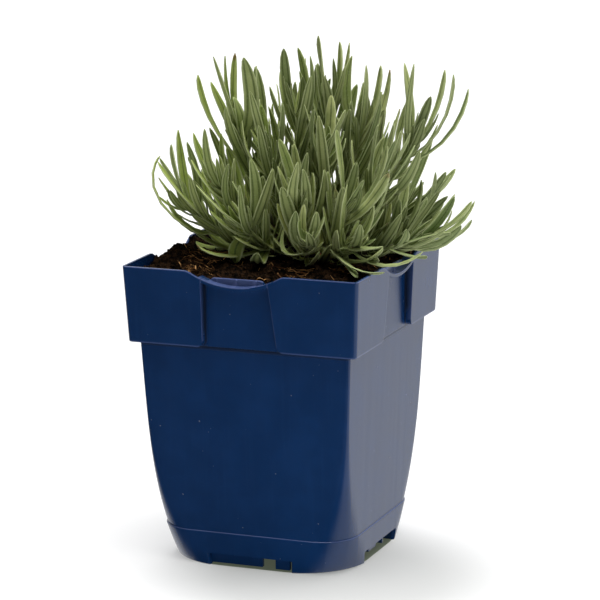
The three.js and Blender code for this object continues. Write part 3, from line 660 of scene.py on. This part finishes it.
# Brown fibres and slivers of bark: thin three-sided strands that lie curled on the soil.
FIBRE_PARTS = 6
FIBRE_NESTS = (  # middle, spread, which way they lie
    (-25, -10, 7, 0.4), (-21, -3, 6, 0.5), (-31, -35, 7, -0.5),
    (-36, -20, 9, 0.2), (30, -17, 6, 0), (12, -30, 8, -0.3),
)
fibre_bm = bmesh.new()
shade_layer = fibre_bm.verts.layers.float.new("tone")
for number in range(FIBRES):
    x, y = litter_spot(4)
    heading = litter() * 2 * math.pi
    nest_x, nest_y, spread, lie = FIBRE_NESTS[number % len(FIBRE_NESTS)]
    if number % 5 > 1:  # three in five lie in a nest, more or less one way
        out = spread * litter() ** 0.7
        x, y = nest_x + out * math.cos(heading), nest_y + out * math.sin(heading)
        heading = lie + 0.9 * (litter() - 0.5)
    curl = (litter() - 0.5) * 1.5
    length, thick, lean = 4 + 10 * litter() ** 1.5, 0.1 + 0.16 * litter() ** 2, (litter() - 0.35) * 0.6
    spine = []
    for _ in range(FIBRE_PARTS + 1):
        spine.append(Vector((x, y, soil_height(x, y) + crumbs(x, y) + 0.25)))
        x += math.cos(heading) * length / FIBRE_PARTS
        y += math.sin(heading) * length / FIBRE_PARTS
        heading += curl / FIBRE_PARTS
    sag = [point.z for point in spine]
    for k, point in enumerate(spine):  # it bridges the hollows, so it lies higher than the soil's mean
        bridge = sag[0] + (sag[-1] - sag[0]) * k / FIBRE_PARTS
        point.z = max(sag[k] * 0.3 + 0.7 * bridge, sag[k]) + max(0, lean) * k * length / (2 * FIBRE_PARTS)
    if max(abs(x), abs(y)) > SOIL_HALF - 3:
        continue
    flow_side = Vector((-math.sin(heading), math.cos(heading), 0))

    def strand(i, k):
        swell = thick * (0.35 + 0.65 * math.sin(math.pi * (k + 0.6) / 7.2))
        angle = i * 2 * math.pi / 3
        return spine[k] + flow_side * math.cos(angle) * swell * 1.6 + Vector((0, 0, math.sin(angle) * swell))

    first = len(fibre_bm.verts)
    rolled_sheet(fibre_bm, 3, FIBRE_PARTS, strand)
    fibre_bm.verts.ensure_lookup_table()
    tone = litter()
    for v in fibre_bm.verts[first:]:
        v[shade_layer] = tone
close_ends(fibre_bm)
bmesh.ops.recalc_face_normals(fibre_bm, faces=fibre_bm.faces)
straw = Finish("brown_fibre", Roughness=0.85, Specular_IOR_Level=0.15)
shade = straw.attribute("tone").rise(0.2, 0.9)
straw.feed(Base_Color=straw.paint(shade, (0.08, 0.032, 0.01), (0.62, 0.34, 0.13)))
fibres = add_piece("soil_fibres", fibre_bm, straw.material)


# ---- The leafy stems ----
# A young lavender: square stems that are brown and woody at the soil, with crossed pairs of narrow,
# felted grey-green leaves, tufts of small ones in their axils, and withered ones low down. They grow
# by the same rule as the part's plain stems, so each piece keeps its node's form.
CROWN = {"x": 6, "y": 10}
PLANT_HEIGHT = 90
ROOT_DEPTH = 9
STEM_LOW, STEM_TIP = 1.3, 1.0
GAP = 0.3
LEAF = {"length": 34, "width": 5.3, "keel": 0.95, "root": 0.24, "widest": 0.6}
SPREAD_LOW, SPREAD_TOP = 62, 24
LEFT_REACH = -55
TRIES = 8
LAST_PAIR, LAST_LEAF = 0.96, 0.97  # ways up the stem
STEM_LEVELS = [0, 0.33, 0.66, 0.97, 1]
LEAF_LEVELS = [0, 0.42, 0.86, 1]

# Each: the growing tip, how many pairs of leaves, where up the stem they start, the leaves' size,
# and where the tips of the long leaves end.
STEMS = [
    ("upper_left", (-22, 1, 186), 6, 0.2, 1,
     [(-28, 2, 221), (-15, -8, 222), (-14, 3, 217), (-29, -9, 222), (-20, -17, 201), (-38, -6, 213)]),
    ("left_low", (-41, -12, 154), 6, 0.2, 1,
     [(-48, -6, 188), (-38, -19, 185), (-47, -16, 183), (-33, -28, 171), (-54, -13, 176), (-51, -22, 176)]),
    ("left_mid", (-22, -15, 164), 6, 0.2, 1, [(-35, -7, 184), (-15, -27, 178)]),
    ("top_left", (1, 12, 196), 7, 0.3, 1, [(-1, 4, 225), (1, 16, 224), (13, 1, 214)]),
    ("top_mid", (14, 23, 196), 7, 0.3, 1, [(9, 21, 229), (17, 26, 226), (16, 9, 213)]),
    ("top_right", (29, 21, 187), 6, 0.3, 1,
     [(23, 26, 220), (32, 19, 217), (36, 27, 216), (37, 36, 213), (40, 16, 202)]),
    ("right_top", (51, 27, 182), 6, 0.25, 1,
     [(46, 31, 217), (53, 23, 218), (63, 36, 214), (69, 30, 213), (74, 36, 206)]),
    ("right_mid", (41, 5, 165), 6, 0.25, 1,
     [(50, 5, 194), (51, 12, 190), (47, 21, 198), (58, 10, 184)]),
    ("right_low", (52, 27, 141), 5, 0.25, 1,
     [(54, 30, 165), (61, 29, 169), (62, 38, 164), (69, 32, 159), (70, 25, 153)]),
    ("right_lowest", (54, 12, 139), 6, 0.2, 1, [(80, 23, 158), (82, 17, 151), (59, -4, 149)]),
    ("front_mid", (13, -18, 158), 5, 0.25, 1,
     [(19, -25, 177), (18, -17, 183), (12, -32, 170), (26, -18, 176)]),
    ("front_small", (22, -27, 145), 5, 0.3, 0.62, [(19, -34, 160), (28, -32, 160)]),
    ("front_right", (37, -17, 143), 5, 0.25, 0.9, [(47, -20, 148), (53, -18, 143), (54, -28, 141)]),
    ("front_left", (-10, -19, 148), 5, 0.25, 0.95,
     [(-6, -24, 180), (6, -28, 177), (-2, -20, 172), (2, -36, 141), (-28, -33, 142)]),
    ("mid", (19, 0, 178), 7, 0.3, 1, []),
    ("mid_left", (-6, -3, 175), 7, 0.3, 1, []),
    ("front_right_big", (32, -10, 155), 5, 0.25, 1.1,
     [(53, -11, 174), (37, -7, 178), (35, -18, 169), (20, -8, 198)]),
    ("back_left", (-22, 25, 180), 7, 0.25, 1, []),
    ("back_mid", (-1, 38, 183), 7, 0.25, 1, []),
    ("back_right", (25, 42, 172), 7, 0.25, 1, []),
    ("back_left_low", (-34, 18, 152), 7, 0.2, 1, []),
    ("back_right_low", (38, 48, 146), 6, 0.2, 1, []),
    ("back_low", (-8, 50, 150), 6, 0.2, 1, []),
]


def unit(v):
    return v / np.linalg.norm(v)


def on_curve(curve, ways):
    """Points of a curve with three control points, and its directions there."""
    first, knee, last = curve
    t = np.atleast_1d(np.asarray(ways, float))[:, None]
    points = first * (1 - t) ** 2 + knee * 2 * t * (1 - t) + last * t * t
    t = np.clip(t, 5e-5, 1 - 5e-5)
    along = (knee - first) * (1 - t) + (last - knee) * t
    return points, along / np.linalg.norm(along, axis=1, keepdims=True)


def on_facets(curve, levels, ways):
    knots = on_curve(curve, levels)[0]
    return np.column_stack([np.interp(ways, levels, knots[:, k]) for k in range(3)])


def leaf_frame(curve, face, ways):
    points, along = on_curve(curve, ways)
    across = np.cross(along, face)
    across /= np.linalg.norm(across, axis=1, keepdims=True)
    return points, across, np.cross(across, along)


def plain_width(t):
    widest = LEAF["widest"]
    if t < widest:
        return LEAF["root"] + (1 - LEAF["root"]) * math.sin(math.pi / 2 * t / widest)
    return math.sqrt(max(0, 1 - ((t - widest) / (1 - widest)) ** 2.4))


# Small balls along all that has grown, sorted into cells, keep what grows next clear of it.
CELL = 3
grown = {}


def cell_of(x, y, z):
    return math.floor(x / CELL), math.floor(y / CELL), math.floor(z / CELL)


def remember(ball):
    grown.setdefault(cell_of(*ball[:3]), []).append(ball)


def touches_grown(ball):
    x, y, z, r, owner, outer = ball
    i, j, k = cell_of(x, y, z)
    for cell in [(a, b, c) for a in (i - 1, i, i + 1) for b in (j - 1, j, j + 1) for c in (k - 1, k, k + 1)]:
        for other in grown.get(cell, ()):
            kin = other[4] == owner
            if kin and not (outer and other[5]):
                continue
            if math.dist(other[:3], (x, y, z)) < (other[3] + r) * (0.6 if kin else 1) + GAP:
                return True
    return False


def touches_ground(x, y, z, r):
    out = max(abs(x), abs(y))
    if out > RIM_HALF + r + 1:
        return False
    ground_level = POT_HEIGHT if out > PANEL_HALF - WALL - r - 1 else soil_height(x, y)
    return z - 0.7 * r < ground_level + GAP


LEAF_STEPS = np.arange(1, 17) / 16


def leaf_balls(curve, face, width, owner):
    _, across, up = leaf_frame(curve, face, LEAF_STEPS)
    middles = on_facets(curve, LEAF_LEVELS, LEAF_STEPS) - up * 0.4 * LEAF["keel"]
    balls = []
    for t, middle, side in zip(LEAF_STEPS, middles, across):
        half = width / 2 * plain_width(t)
        for share in (-0.62, 0, 0.62):
            spot = middle + side * half * share
            balls.append((*map(float, spot), max(0.38 * half + 0.3, 0.6), owner, t > 0.35))
    return balls


def place_leaf(stem, curve, face, width, way):
    balls = leaf_balls(curve, face, width, stem.name)
    if any(ball[0] < LEFT_REACH or touches_ground(*ball[:4]) or touches_grown(ball) for ball in balls):
        return False
    for ball in balls:
        remember(ball)
    stem.leaves.append((curve, face, width, way))
    return True


def sideways(along, angle):
    across = unit(np.cross((0.31, 0.17, 1), along))
    return across * math.cos(angle) + np.cross(along, across) * math.sin(angle)


def grow_stem(index, name, tip, pairs, start, size, reach):
    random = draws(7919 * (index + 1) + 17)
    tip = np.array(tip, float)
    out = np.array((tip[0] - CROWN["x"], tip[1] - CROWN["y"], 0))
    low = 1 - (tip[2] - POT_HEIGHT) / PLANT_HEIGHT
    root = np.array((CROWN["x"], CROWN["y"], 0)) + out * (0.2 + 0.3 * low)
    root[2] = soil_height(root[0], root[1])
    bend = root + out * 0.33
    bend[2] = root[2] + (tip[2] - root[2]) * 0.42 + 3
    curve = (root, bend, tip)
    for spot in on_facets(curve, STEM_LEVELS, np.arange(1, 31) / 30):
        remember((*map(float, spot), STEM_LOW, name, False))
    return SimpleNamespace(name=name, pairs=pairs, start=start, size=size, reach=reach, curve=curve,
                           random=random, turn=random() * math.pi, leaves=[], index=index)


def grow_reach(stem):
    """The long leaves whose tips are placed one by one."""
    random, curve = stem.random, stem.curve
    at = LAST_LEAF
    for spot in stem.reach:
        end = np.array(spot, float)
        length = LEAF["length"] * stem.size * (0.92 + 0.2 * random())
        width = LEAF["width"] * (0.8 + 0.35 * random())
        while at > 0.3 and math.dist(on_curve(curve, at)[0][0], end) < length:
            at -= 0.01
        for attempt in range(TRIES):
            way = min(LAST_LEAF, at + 0.02 * attempt)
            base = on_curve(curve, way)[0][0]
            flat = (end - base) * (1, 1, 0)
            knee = base + (end - base) * 0.45 + flat * 0.25
            knee[2] -= 0.18 * np.linalg.norm(flat)
            face = -unit(flat) + (0, 0, 0.25)
            if place_leaf(stem, (base, knee, end), face, width, way):
                break
        at -= 0.04


def lean_out(base, along, side, spread, length, lift):
    """A leaf's curve: it leans out from the stem, then bends up to the light."""
    out = along * math.cos(spread) + side * math.sin(spread)
    up = unit(out + along * lift * 0.3 + (0, 0, lift))
    knee = base + out * length * 0.38
    return (base, knee, knee + up * length * 0.65), side * -1 + (0, 0, 0.25)


def grow_pair(stem, pair):
    random, size = stem.random, stem.size
    share = pair / (stem.pairs - 1)
    at = stem.start + (LAST_PAIR - stem.start) * share
    (base,), (along,) = on_curve(stem.curve, at)
    for half_turn in (0, 1):
        swing, opened, long, wide = random(), random(), random(), random()
        for attempt in range(TRIES):
            aside = (1 if attempt % 2 else -1) * attempt * 0.2
            turn = stem.turn + pair * math.pi / 2 + half_turn * math.pi + (swing - 0.5) * 0.6 + aside
            side = sideways(along, turn)
            degrees = (SPREAD_LOW + (SPREAD_TOP - SPREAD_LOW) * share) * (0.75 + 0.5 * opened)
            length = LEAF["length"] * size * (0.78 + 0.34 * long)
            length *= 0.82 + 0.3 * share - 0.12 * share * share
            width = LEAF["width"] * (0.5 + 0.5 * size) * (0.78 + 0.44 * wide)
            curve, face = lean_out(base, along, side, math.radians(degrees) * (1 - 0.05 * attempt),
                                   length * (1 - 0.04 * attempt), 0.9 + 0.9 * opened)
            if place_leaf(stem, curve, face, width, at):
                break


stems = [grow_stem(index, "stem_" + name, *plan) for index, (name, *plan) in enumerate(STEMS)]
for stem in stems:
    grow_reach(stem)
for down in range(max(stem.pairs for stem in stems)):
    for stem in stems:
        if stem.pairs > down:
            grow_pair(stem, stem.pairs - 1 - down)

# Small leaves that the plain stems leave out: axil tufts, the tuft round each growing tip, and low
# leaves that hide the soil. They stay inside the part's own reach.
reach_low = (Vector(solid_box[0]) - POT_AXIS) * 1000
reach_high = (Vector(solid_box[1]) - POT_AXIS) * 1000
# How far a small leaf opens from the stem in degrees, its length, its width and how strongly it bends
# up: each the least of it, and where it varies, by how much.
AXIL_LEAF = ((26, 22), (9, 8), (2.2, 1.2), (0.7,))
TIP_LEAF = ((8, 16), (11, 9), (2.4, 1.2), (0.4,))
LOW_LEAF = ((48, 30), (16, 14), (3.2, 1.5), (0.5, 1))


def small_leaf(stem, random, at, turn, kind, size=1.0, young=False):
    degrees, length, width, lift = (
        least + more[0] * random() if more else least for least, *more in kind
    )
    length *= size
    (base,), (along,) = on_curve(stem.curve, at)
    side = sideways(along, turn)
    for attempt in range(4):
        shrink = 1 - 0.15 * attempt
        curve, face = lean_out(base, along, side, math.radians(degrees * shrink), length * shrink, lift)
        points = on_curve(curve, (0.4, 0.7, 1))[0]
        fits = all(low + 1 < c < high - 1 for p in points for low, c, high in zip(reach_low, p, reach_high))
        if fits and not any(touches_ground(*p, 0.8) for p in points):
            return [(curve, face, width, at if not young else 1.0)]
    return []


for stem in stems:
    random = draws(104729 + 613 * stem.index)
    few = []
    for pair in range(stem.pairs):
        at = stem.start + (LAST_PAIR - stem.start) * pair / (stem.pairs - 1)
        for k in range(4):
            turn = stem.turn + pair * math.pi / 2 + k * math.pi / 2 + 0.5 * (random() - 0.5) + 0.35
            few += small_leaf(stem, random, min(at + 0.015, LAST_LEAF), turn, AXIL_LEAF, stem.size)
    for k in range(5):
        few += small_leaf(stem, random, LAST_LEAF, stem.turn + k * 1.26, TIP_LEAF, stem.size, True)
    for k in range(6):
        at = 0.04 + 0.4 * random() * stem.start
        few += small_leaf(stem, random, at, stem.turn + k * 1.05 + random(), LOW_LEAF)
    stem.small = few

# One blade is a thin rolled-edge strap with a groove along its middle and a rib under it.
BLADE_ROWS = (0, 0.12, 0.28, 0.46, 0.64, 0.79, 0.9, 0.965, 1)
BLADE_LIFT = {0: -0.12, 0.5: 0.3, 1: -0.32}
BLADE_THICK = {0: 0.8, 0.5: 0.34, 1: 0.34}
BLADE_SHARE = 0.76  # how wide a blade is, of the plain solid's width
LONG_LEAF_SHARE = 1.25  # the long leaves are broader than that
LAYERS = ("across", "along", "under", "tone", "age")


def layered_mesh():
    bm = bmesh.new()
    return bm, {key: bm.verts.layers.float.new(key) for key in LAYERS}


def blade_width(t):
    grow = 0.36 + 0.64 * math.sin(math.pi / 2 * min(1, t / 0.5))
    return grow * max(0.02, 1 - max(0, (t - 0.6) / 0.4) ** 2.7) ** 0.55


def blank_blade(bm, layers):
    """The flat blade that all others are copied from, with its place across and along noted."""
    grid = bmesh.ops.create_grid(bm, x_segments=4, y_segments=len(BLADE_ROWS) - 1, size=1)["verts"]
    faces = list({f for v in grid for f in v.link_faces})
    bmesh.ops.solidify(bm, geom=faces, thickness=0.5)
    for v in bm.verts:
        v[layers["across"]] = v.co.x
        v[layers["along"]] = BLADE_ROWS[round((v.co.y + 1) / 2 * (len(BLADE_ROWS) - 1))]
        v[layers["under"]] = 1.0 if abs(v.co.z) > 0.25 else 0.0
    if next(f for f in bm.faces if all(v[layers["under"]] == 0 for v in f.verts)).normal.z < 0:
        bmesh.ops.reverse_faces(bm, faces=bm.faces)
    return bm.verts[:] + bm.edges[:] + bm.faces[:]


def add_blade(bm, layers, blank, random, curve, face, width, way):
    """A copy of the blank, bent along its curve, a little twisted and bowed."""
    twist, bow = (random() - 0.5) * 2.0, (random() - 0.5) * 0.2
    nod, tone = (random() - 0.6) * 0.14, random()
    width *= BLADE_SHARE * (0.72 + 0.6 * random())
    length = math.dist(curve[0], curve[2])
    points, across, up = leaf_frame(curve, face, BLADE_ROWS)
    frames = {}
    for t, point, side, top in zip(BLADE_ROWS, points, across, up):
        turn = twist * (t - 0.25) * t
        level = side * math.cos(turn) + top * math.sin(turn)
        bend = length * 4 * t * (1 - t)
        frames[t] = (Vector(point + side * bow * bend + top * nod * bend), Vector(level),
                     Vector(top * math.cos(turn) - side * math.sin(turn)), width / 2 * blade_width(t))
    made = bmesh.ops.duplicate(bm, geom=blank)["geom"]
    for v in made:
        if not isinstance(v, bmesh.types.BMVert):
            continue
        u, t = v[layers["across"]], min(BLADE_ROWS, key=lambda row: abs(row - v[layers["along"]]))
        point, side, top, half = frames[t]
        bulk = min(1, half / 1.8)
        sunk = BLADE_THICK[abs(u)] * (0.45 + 0.55 * bulk) * v[layers["under"]]
        v.co = point + side * half * u + top * (BLADE_LIFT[abs(u)] * bulk - sunk)
        v[layers["tone"]], v[layers["age"]] = tone, way


def stem_tube(bm, layers, stem):
    root, _, tip = stem.curve
    ways = [-1] + list(np.linspace(0, 0.985, 15))
    rings = []
    for way in ways:
        (spot,), (along,) = on_curve(stem.curve, max(way, 0))
        if way < 0:
            spot = spot - (0, 0, ROOT_DEPTH - 0.5)
        radius = (STEM_LOW + (STEM_TIP - STEM_LOW) * max(way, 0)) * (0.92 if way < 0.98 else 0.2)
        if way < 0.1:  # it comes out of the soil almost upright
            along = np.array((0.05, 0.05, 1))
        rings.append([spot + sideways(along, stem.turn + math.pi / 4 * i) * radius * (1 if i % 2 else 0.8)
                      for i in range(8)])
    before = len(bm.verts)
    rolled_sheet(bm, 8, len(rings) - 1, lambda i, j: Vector(rings[j][i]))
    bm.verts.ensure_lookup_table()
    for v in bm.verts[before:]:
        v[layers["age"]] = min(1, max(0, (v.co.z - root[2]) / (tip[2] - root[2])))
        v[layers["under"]] = 0.5
    close_ends(bm)
    for f in bm.faces:
        f.material_index = 1
    bmesh.ops.recalc_face_normals(bm, faces=bm.faces)


# Leaves placed one by one, most of them low ones that lie over the soil and the rim: base, knee,
# tip, which way the face looks, width.
PLACED = {
    "stem_left_low": [((-32.3, -12, 141), (-56, -33, 163), (-47.6, -27, 179.5), (0.5, 0.3, 0.8), 4.4)],
    "stem_left_mid": [((-13, -1, 139), (-34, -1, 132), (-45, 5, 135.4), (0.2, -0.3, 1), 4.6)],
    "stem_front_left": [((-13, -12, 143), (-16, -21, 142), (-14.5, -22, 132.6), (-0.2, -1, 0.25), 8.5)],
    "stem_front_mid": [((8, -21, 149), (8, -31, 138.5), (21.6, -31, 141.5), (0.1, -0.4, 1), 3.4)],
    "stem_front_right": [((24, -16, 141), (37, -18, 143), (48, -37, 133.4), (0.3, 0.3, 1), 4.2),
                         ((28, -18, 142), (46, -36, 136.5), (63, -43, 138), (0.3, 0.3, 1), 4.6),
                         ((34.7, -18, 143), (46, -27, 139.5), (58, -31, 146.5), (-0.2, -0.3, 1), 4.6),
                         ((40, -20, 141), (60, -34, 137.8), (77, -34, 146), (-0.2, 0.1, 1), 4.2)],
    "stem_front_right_big": [((34, -14, 152), (46, -20, 158), (56, -18, 176), (-0.7, -0.7, 0.4), 8)],
    "stem_right_lowest": [((50, 0, 139), (62, -8, 141), (72, -14, 140), (0, 0.3, 1), 4.8),
                          ((50, 4, 139), (66, 2, 144), (77, 4, 147), (-0.3, 0, 1), 4.6)],
}
PLACED = {name: [(tuple(map(np.array, leaf[:3])), np.array(leaf[3]), leaf[4], 0.45) for leaf in leaves]
          for name, leaves in PLACED.items()}

felt = Finish("felted_leaf", Roughness=0.6, Sheen_Weight=0.03, Sheen_Roughness=0.4, Specular_IOR_Level=0.24)
across, along, under, tone, age = (felt.attribute(name) for name in LAYERS)
sides = abs(across)
speckle = felt.noise(1500, 3)
patch = felt.noise(130, 2)
reach = felt.node("ShaderNodeSeparateXYZ", Vector=felt.place)
groove_shade = (1 - sides).rise(0.78, 0.97) * (1 - under) + (0.5 - abs(sides - 0.5)).rise(0.25, 0.48) * under
scorched = (along + (patch - 0.5) * 0.25).rise(0.93, 1.02) * tone.rise(0.93, 0.97)
felt.feed(Base_Color=felt.coats(
    felt.paint(tone, (0.135, 0.19, 0.035), (0.5, 0.545, 0.21)),
    (patch.rise(0.4, 0.7) * 0.5, (0.12, 0.18, 0.03)),
    ((1 - age).rise(0.45, 1.0) * 0.5, (0.33, 0.34, 0.06)),  # yellower low down
    ((1 - reach.rise(-0.06, 0.005)) * 0.6, (0.27, 0.37, 0.04)),  # and towards the left
    (reach.rise(0.0, 0.05) * 0.35, (0.2, 0.28, 0.14)),  # bluer towards the right
    (under * 0.5, (0.29, 0.34, 0.15)),
    # painted shade along the leaf's grooves, on top and underneath
    (groove_shade * 0.8, (0.07, 0.105, 0.022)),
    (sides.rise(0.7, 0.97) * 0.75, (0.52, 0.58, 0.3)),  # pale margins, with a painted highlight along the rolled edges
    ((speckle - 0.5).rise(0.0, 0.3) * 0.25, (0.5, 0.54, 0.32)),  # hairs
    (scorched * 0.8, (0.2, 0.1, 0.04)),
))
felt.bump(speckle + patch * 0.6, 0.00025, 0.6)

bark = Finish("young_stem", Roughness=0.75, Sheen_Weight=0.2)
age = bark.attribute("age")
grain = bark.noise(700, 3, (1, 1, 0.15))
bark.feed(Base_Color=bark.coats(  # brown and woody low down, green above
    bark.paint((age + (grain - 0.5) * 0.3).rise(0.12, 0.5), (0.075, 0.042, 0.022), (0.2, 0.23, 0.09)),
    (grain.rise(0.5, 0.75) * 0.4, (0.3, 0.27, 0.16)),
))
bark.bump(grain, 0.0003, 0.6)

for stem in stems:
    bm, layers = layered_mesh()
    stem_tube(bm, layers, stem)
    leaves_bm, leaf_layers = layered_mesh()
    blank = blank_blade(leaves_bm, leaf_layers)
    random = draws(15485863 + 31 * stem.index)
    leaves = stem.leaves + stem.small + PLACED.get(stem.name, [])
    for k, (curve, face, width, way) in enumerate(leaves):
        width *= LONG_LEAF_SHARE if k < len(stem.reach) else 1
        add_blade(leaves_bm, leaf_layers, blank, random, curve, face, width, way)
    bmesh.ops.delete(leaves_bm, geom=[g for g in blank if isinstance(g, bmesh.types.BMVert)], context="VERTS")
    for f in (*leaves_bm.faces, *bm.faces):
        f.smooth = True
    leaves_mesh = bpy.data.meshes.new("leaves")
    leaves_bm.to_mesh(leaves_mesh)
    leaves_bm.free()
    bm.from_mesh(leaves_mesh)
    bpy.data.meshes.remove(leaves_mesh)
    piece = add_piece("leafy_" + stem.name, bm, felt.material, bark.material)
    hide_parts(stem.name)


# ---- The floor and the light ----
# A white floor, lit and glowing, with a soft shadow painted into its glow: it is dimmer close to a point just
# in front of the pot. Soft light comes from above and from behind the pot's right side; towards the camera
# the room is dark, so the face that looks there keeps its deep blue.
floor_bm = bmesh.new()
bmesh.ops.create_grid(floor_bm, x_segments=1, y_segments=1, size=6)
paper = Finish("white_paper", Roughness=0.9, Base_Color=(0.46, 0.46, 0.46, 1), Specular_IOR_Level=0.1,
               Emission_Strength=1)
SHADE_MIDDLE, SHADE_START, SHADE_END = (0.04, -0.045, 0), 0.04, 0.1  # in metres
# painted shadow: the glow is darker the nearer it lies to that point
out = paper.node("ShaderNodeVectorMath", {"operation": "DISTANCE"}, "Value", Vector=paper.place)
out.socket.node.inputs[1].default_value = POT_AXIS + Vector(SHADE_MIDDLE)
out = out.rise(SHADE_START, SHADE_END)
paper.feed(Emission_Color=paper.paint(out, (0.16, 0.166, 0.154), (0.52, 0.52, 0.52)))
floor = add_object("floor", floor_bm, paper.material)
floor.visible_glossy = False

# A dark sheet where the pot stands is a painted shadow, and its faint greenish glow is painted bounced light,
# seen through the arches.
SPOT_HALF, SPOT_CORNER, SPOT_HEIGHT = 43.8, 29.5, 0.03
STEPS = 24  # on each side
shadow_sheet_bm = bmesh.new()
bmesh.ops.create_circle(shadow_sheet_bm, cap_ends=True, segments=4 * STEPS, radius=1)
for k, v in enumerate(shadow_sheet_bm.verts):
    turns, step = divmod(k, STEPS)
    way = (step / (STEPS / 2) - 1) * girth(SPOT_HALF, SPOT_CORNER)
    v.co = (*quarter(*on_ring(way, SPOT_HALF, SPOT_CORNER), turns), SPOT_HEIGHT)
shadow_sheet = Finish("shaded_paper", Roughness=0.9, Base_Color=(0.1, 0.115, 0.085, 1),
                   Emission_Color=(0.85, 1, 0.7, 1), Emission_Strength=0.07)
shaded = put_in_place("shaded_floor", shadow_sheet_bm, shadow_sheet.material)

world = bpy.data.worlds.new("studio")
scene.world = world
world.use_nodes = True
nodes = world.node_tree.nodes
direction = nodes.new("ShaderNodeTexCoord").outputs["Generated"]
split = nodes.new("ShaderNodeSeparateXYZ")
plug(Value(direction), split.inputs[0])
x, y, z = map(Value, split.outputs)
DARK_WAY = (-0.37, -0.93)  # from the pot towards the camera's side
facing = x * DARK_WAY[0] + y * DARK_WAY[1]
level = (0.95 - z.rise(0.15, 0.8) * 0.5) * (1 - facing.rise(-0.1, 0.45) * 0.99 * (1 - z.rise(0.5, 0.95)))
plug(level, nodes["Background"].inputs["Strength"])
plug((1, 1, 1, 1), nodes["Background"].inputs["Color"])


def add_light(name, kind, energy, towards, **settings):
    light = bpy.data.objects.new(name, bpy.data.lights.new(name, kind))
    light.data.energy = energy
    light.rotation_euler = Vector(towards).to_track_quat("Z", "Y").to_euler()
    for key, value in settings.items():
        setattr(light.data, key, value)
    scene.collection.objects.link(light)
    return light


# Soft light from all over the ceiling, and a weak lamp low in front, for the foot.
add_light("overhead", "SUN", 3.5, (0.1, 0.02, 1), angle=math.radians(50))
low_fill = add_light("low_fill", "AREA", 0.1, (75, -125, 8), size=0.1)
low_fill.location = TO_METRES @ Vector((75, -165, 12))
low_fill.visible_glossy = False


# ---- The camera ----
# It stands where the photograph was taken from: to the pot's right and a little above it. It looks
# past a point on the pot's axis, by a shift to the side and up.
YAW, PITCH, ROLL = math.radians(21.61), math.radians(12.26), math.radians(-0.54)
FAR = 1409.1
ASIDE, RAISE, AIM = 6.27, 45.43, 66
LENS, SENSOR, CLIP_END = 187.74, 36, 20
forward = Vector((-math.sin(YAW) * math.cos(PITCH), math.cos(YAW) * math.cos(PITCH), -math.sin(PITCH)))
right = Vector((math.cos(YAW), math.sin(YAW), 0))
up = right.cross(forward)
right, up = math.cos(ROLL) * right + math.sin(ROLL) * up, math.cos(ROLL) * up - math.sin(ROLL) * right
camera = bpy.data.objects.new("camera", bpy.data.cameras.new("camera"))
camera.data.lens, camera.data.sensor_width, camera.data.clip_end = LENS, SENSOR, CLIP_END
spot = TO_METRES @ (-forward * FAR + right * ASIDE + up * RAISE + Vector((0, 0, AIM)))
camera.matrix_world = Matrix.Translation(spot) @ Matrix((right, up, -forward)).transposed().to_4x4()
scene.collection.objects.link(camera)
scene.camera = camera
scene.view_settings.view_transform = "Standard"
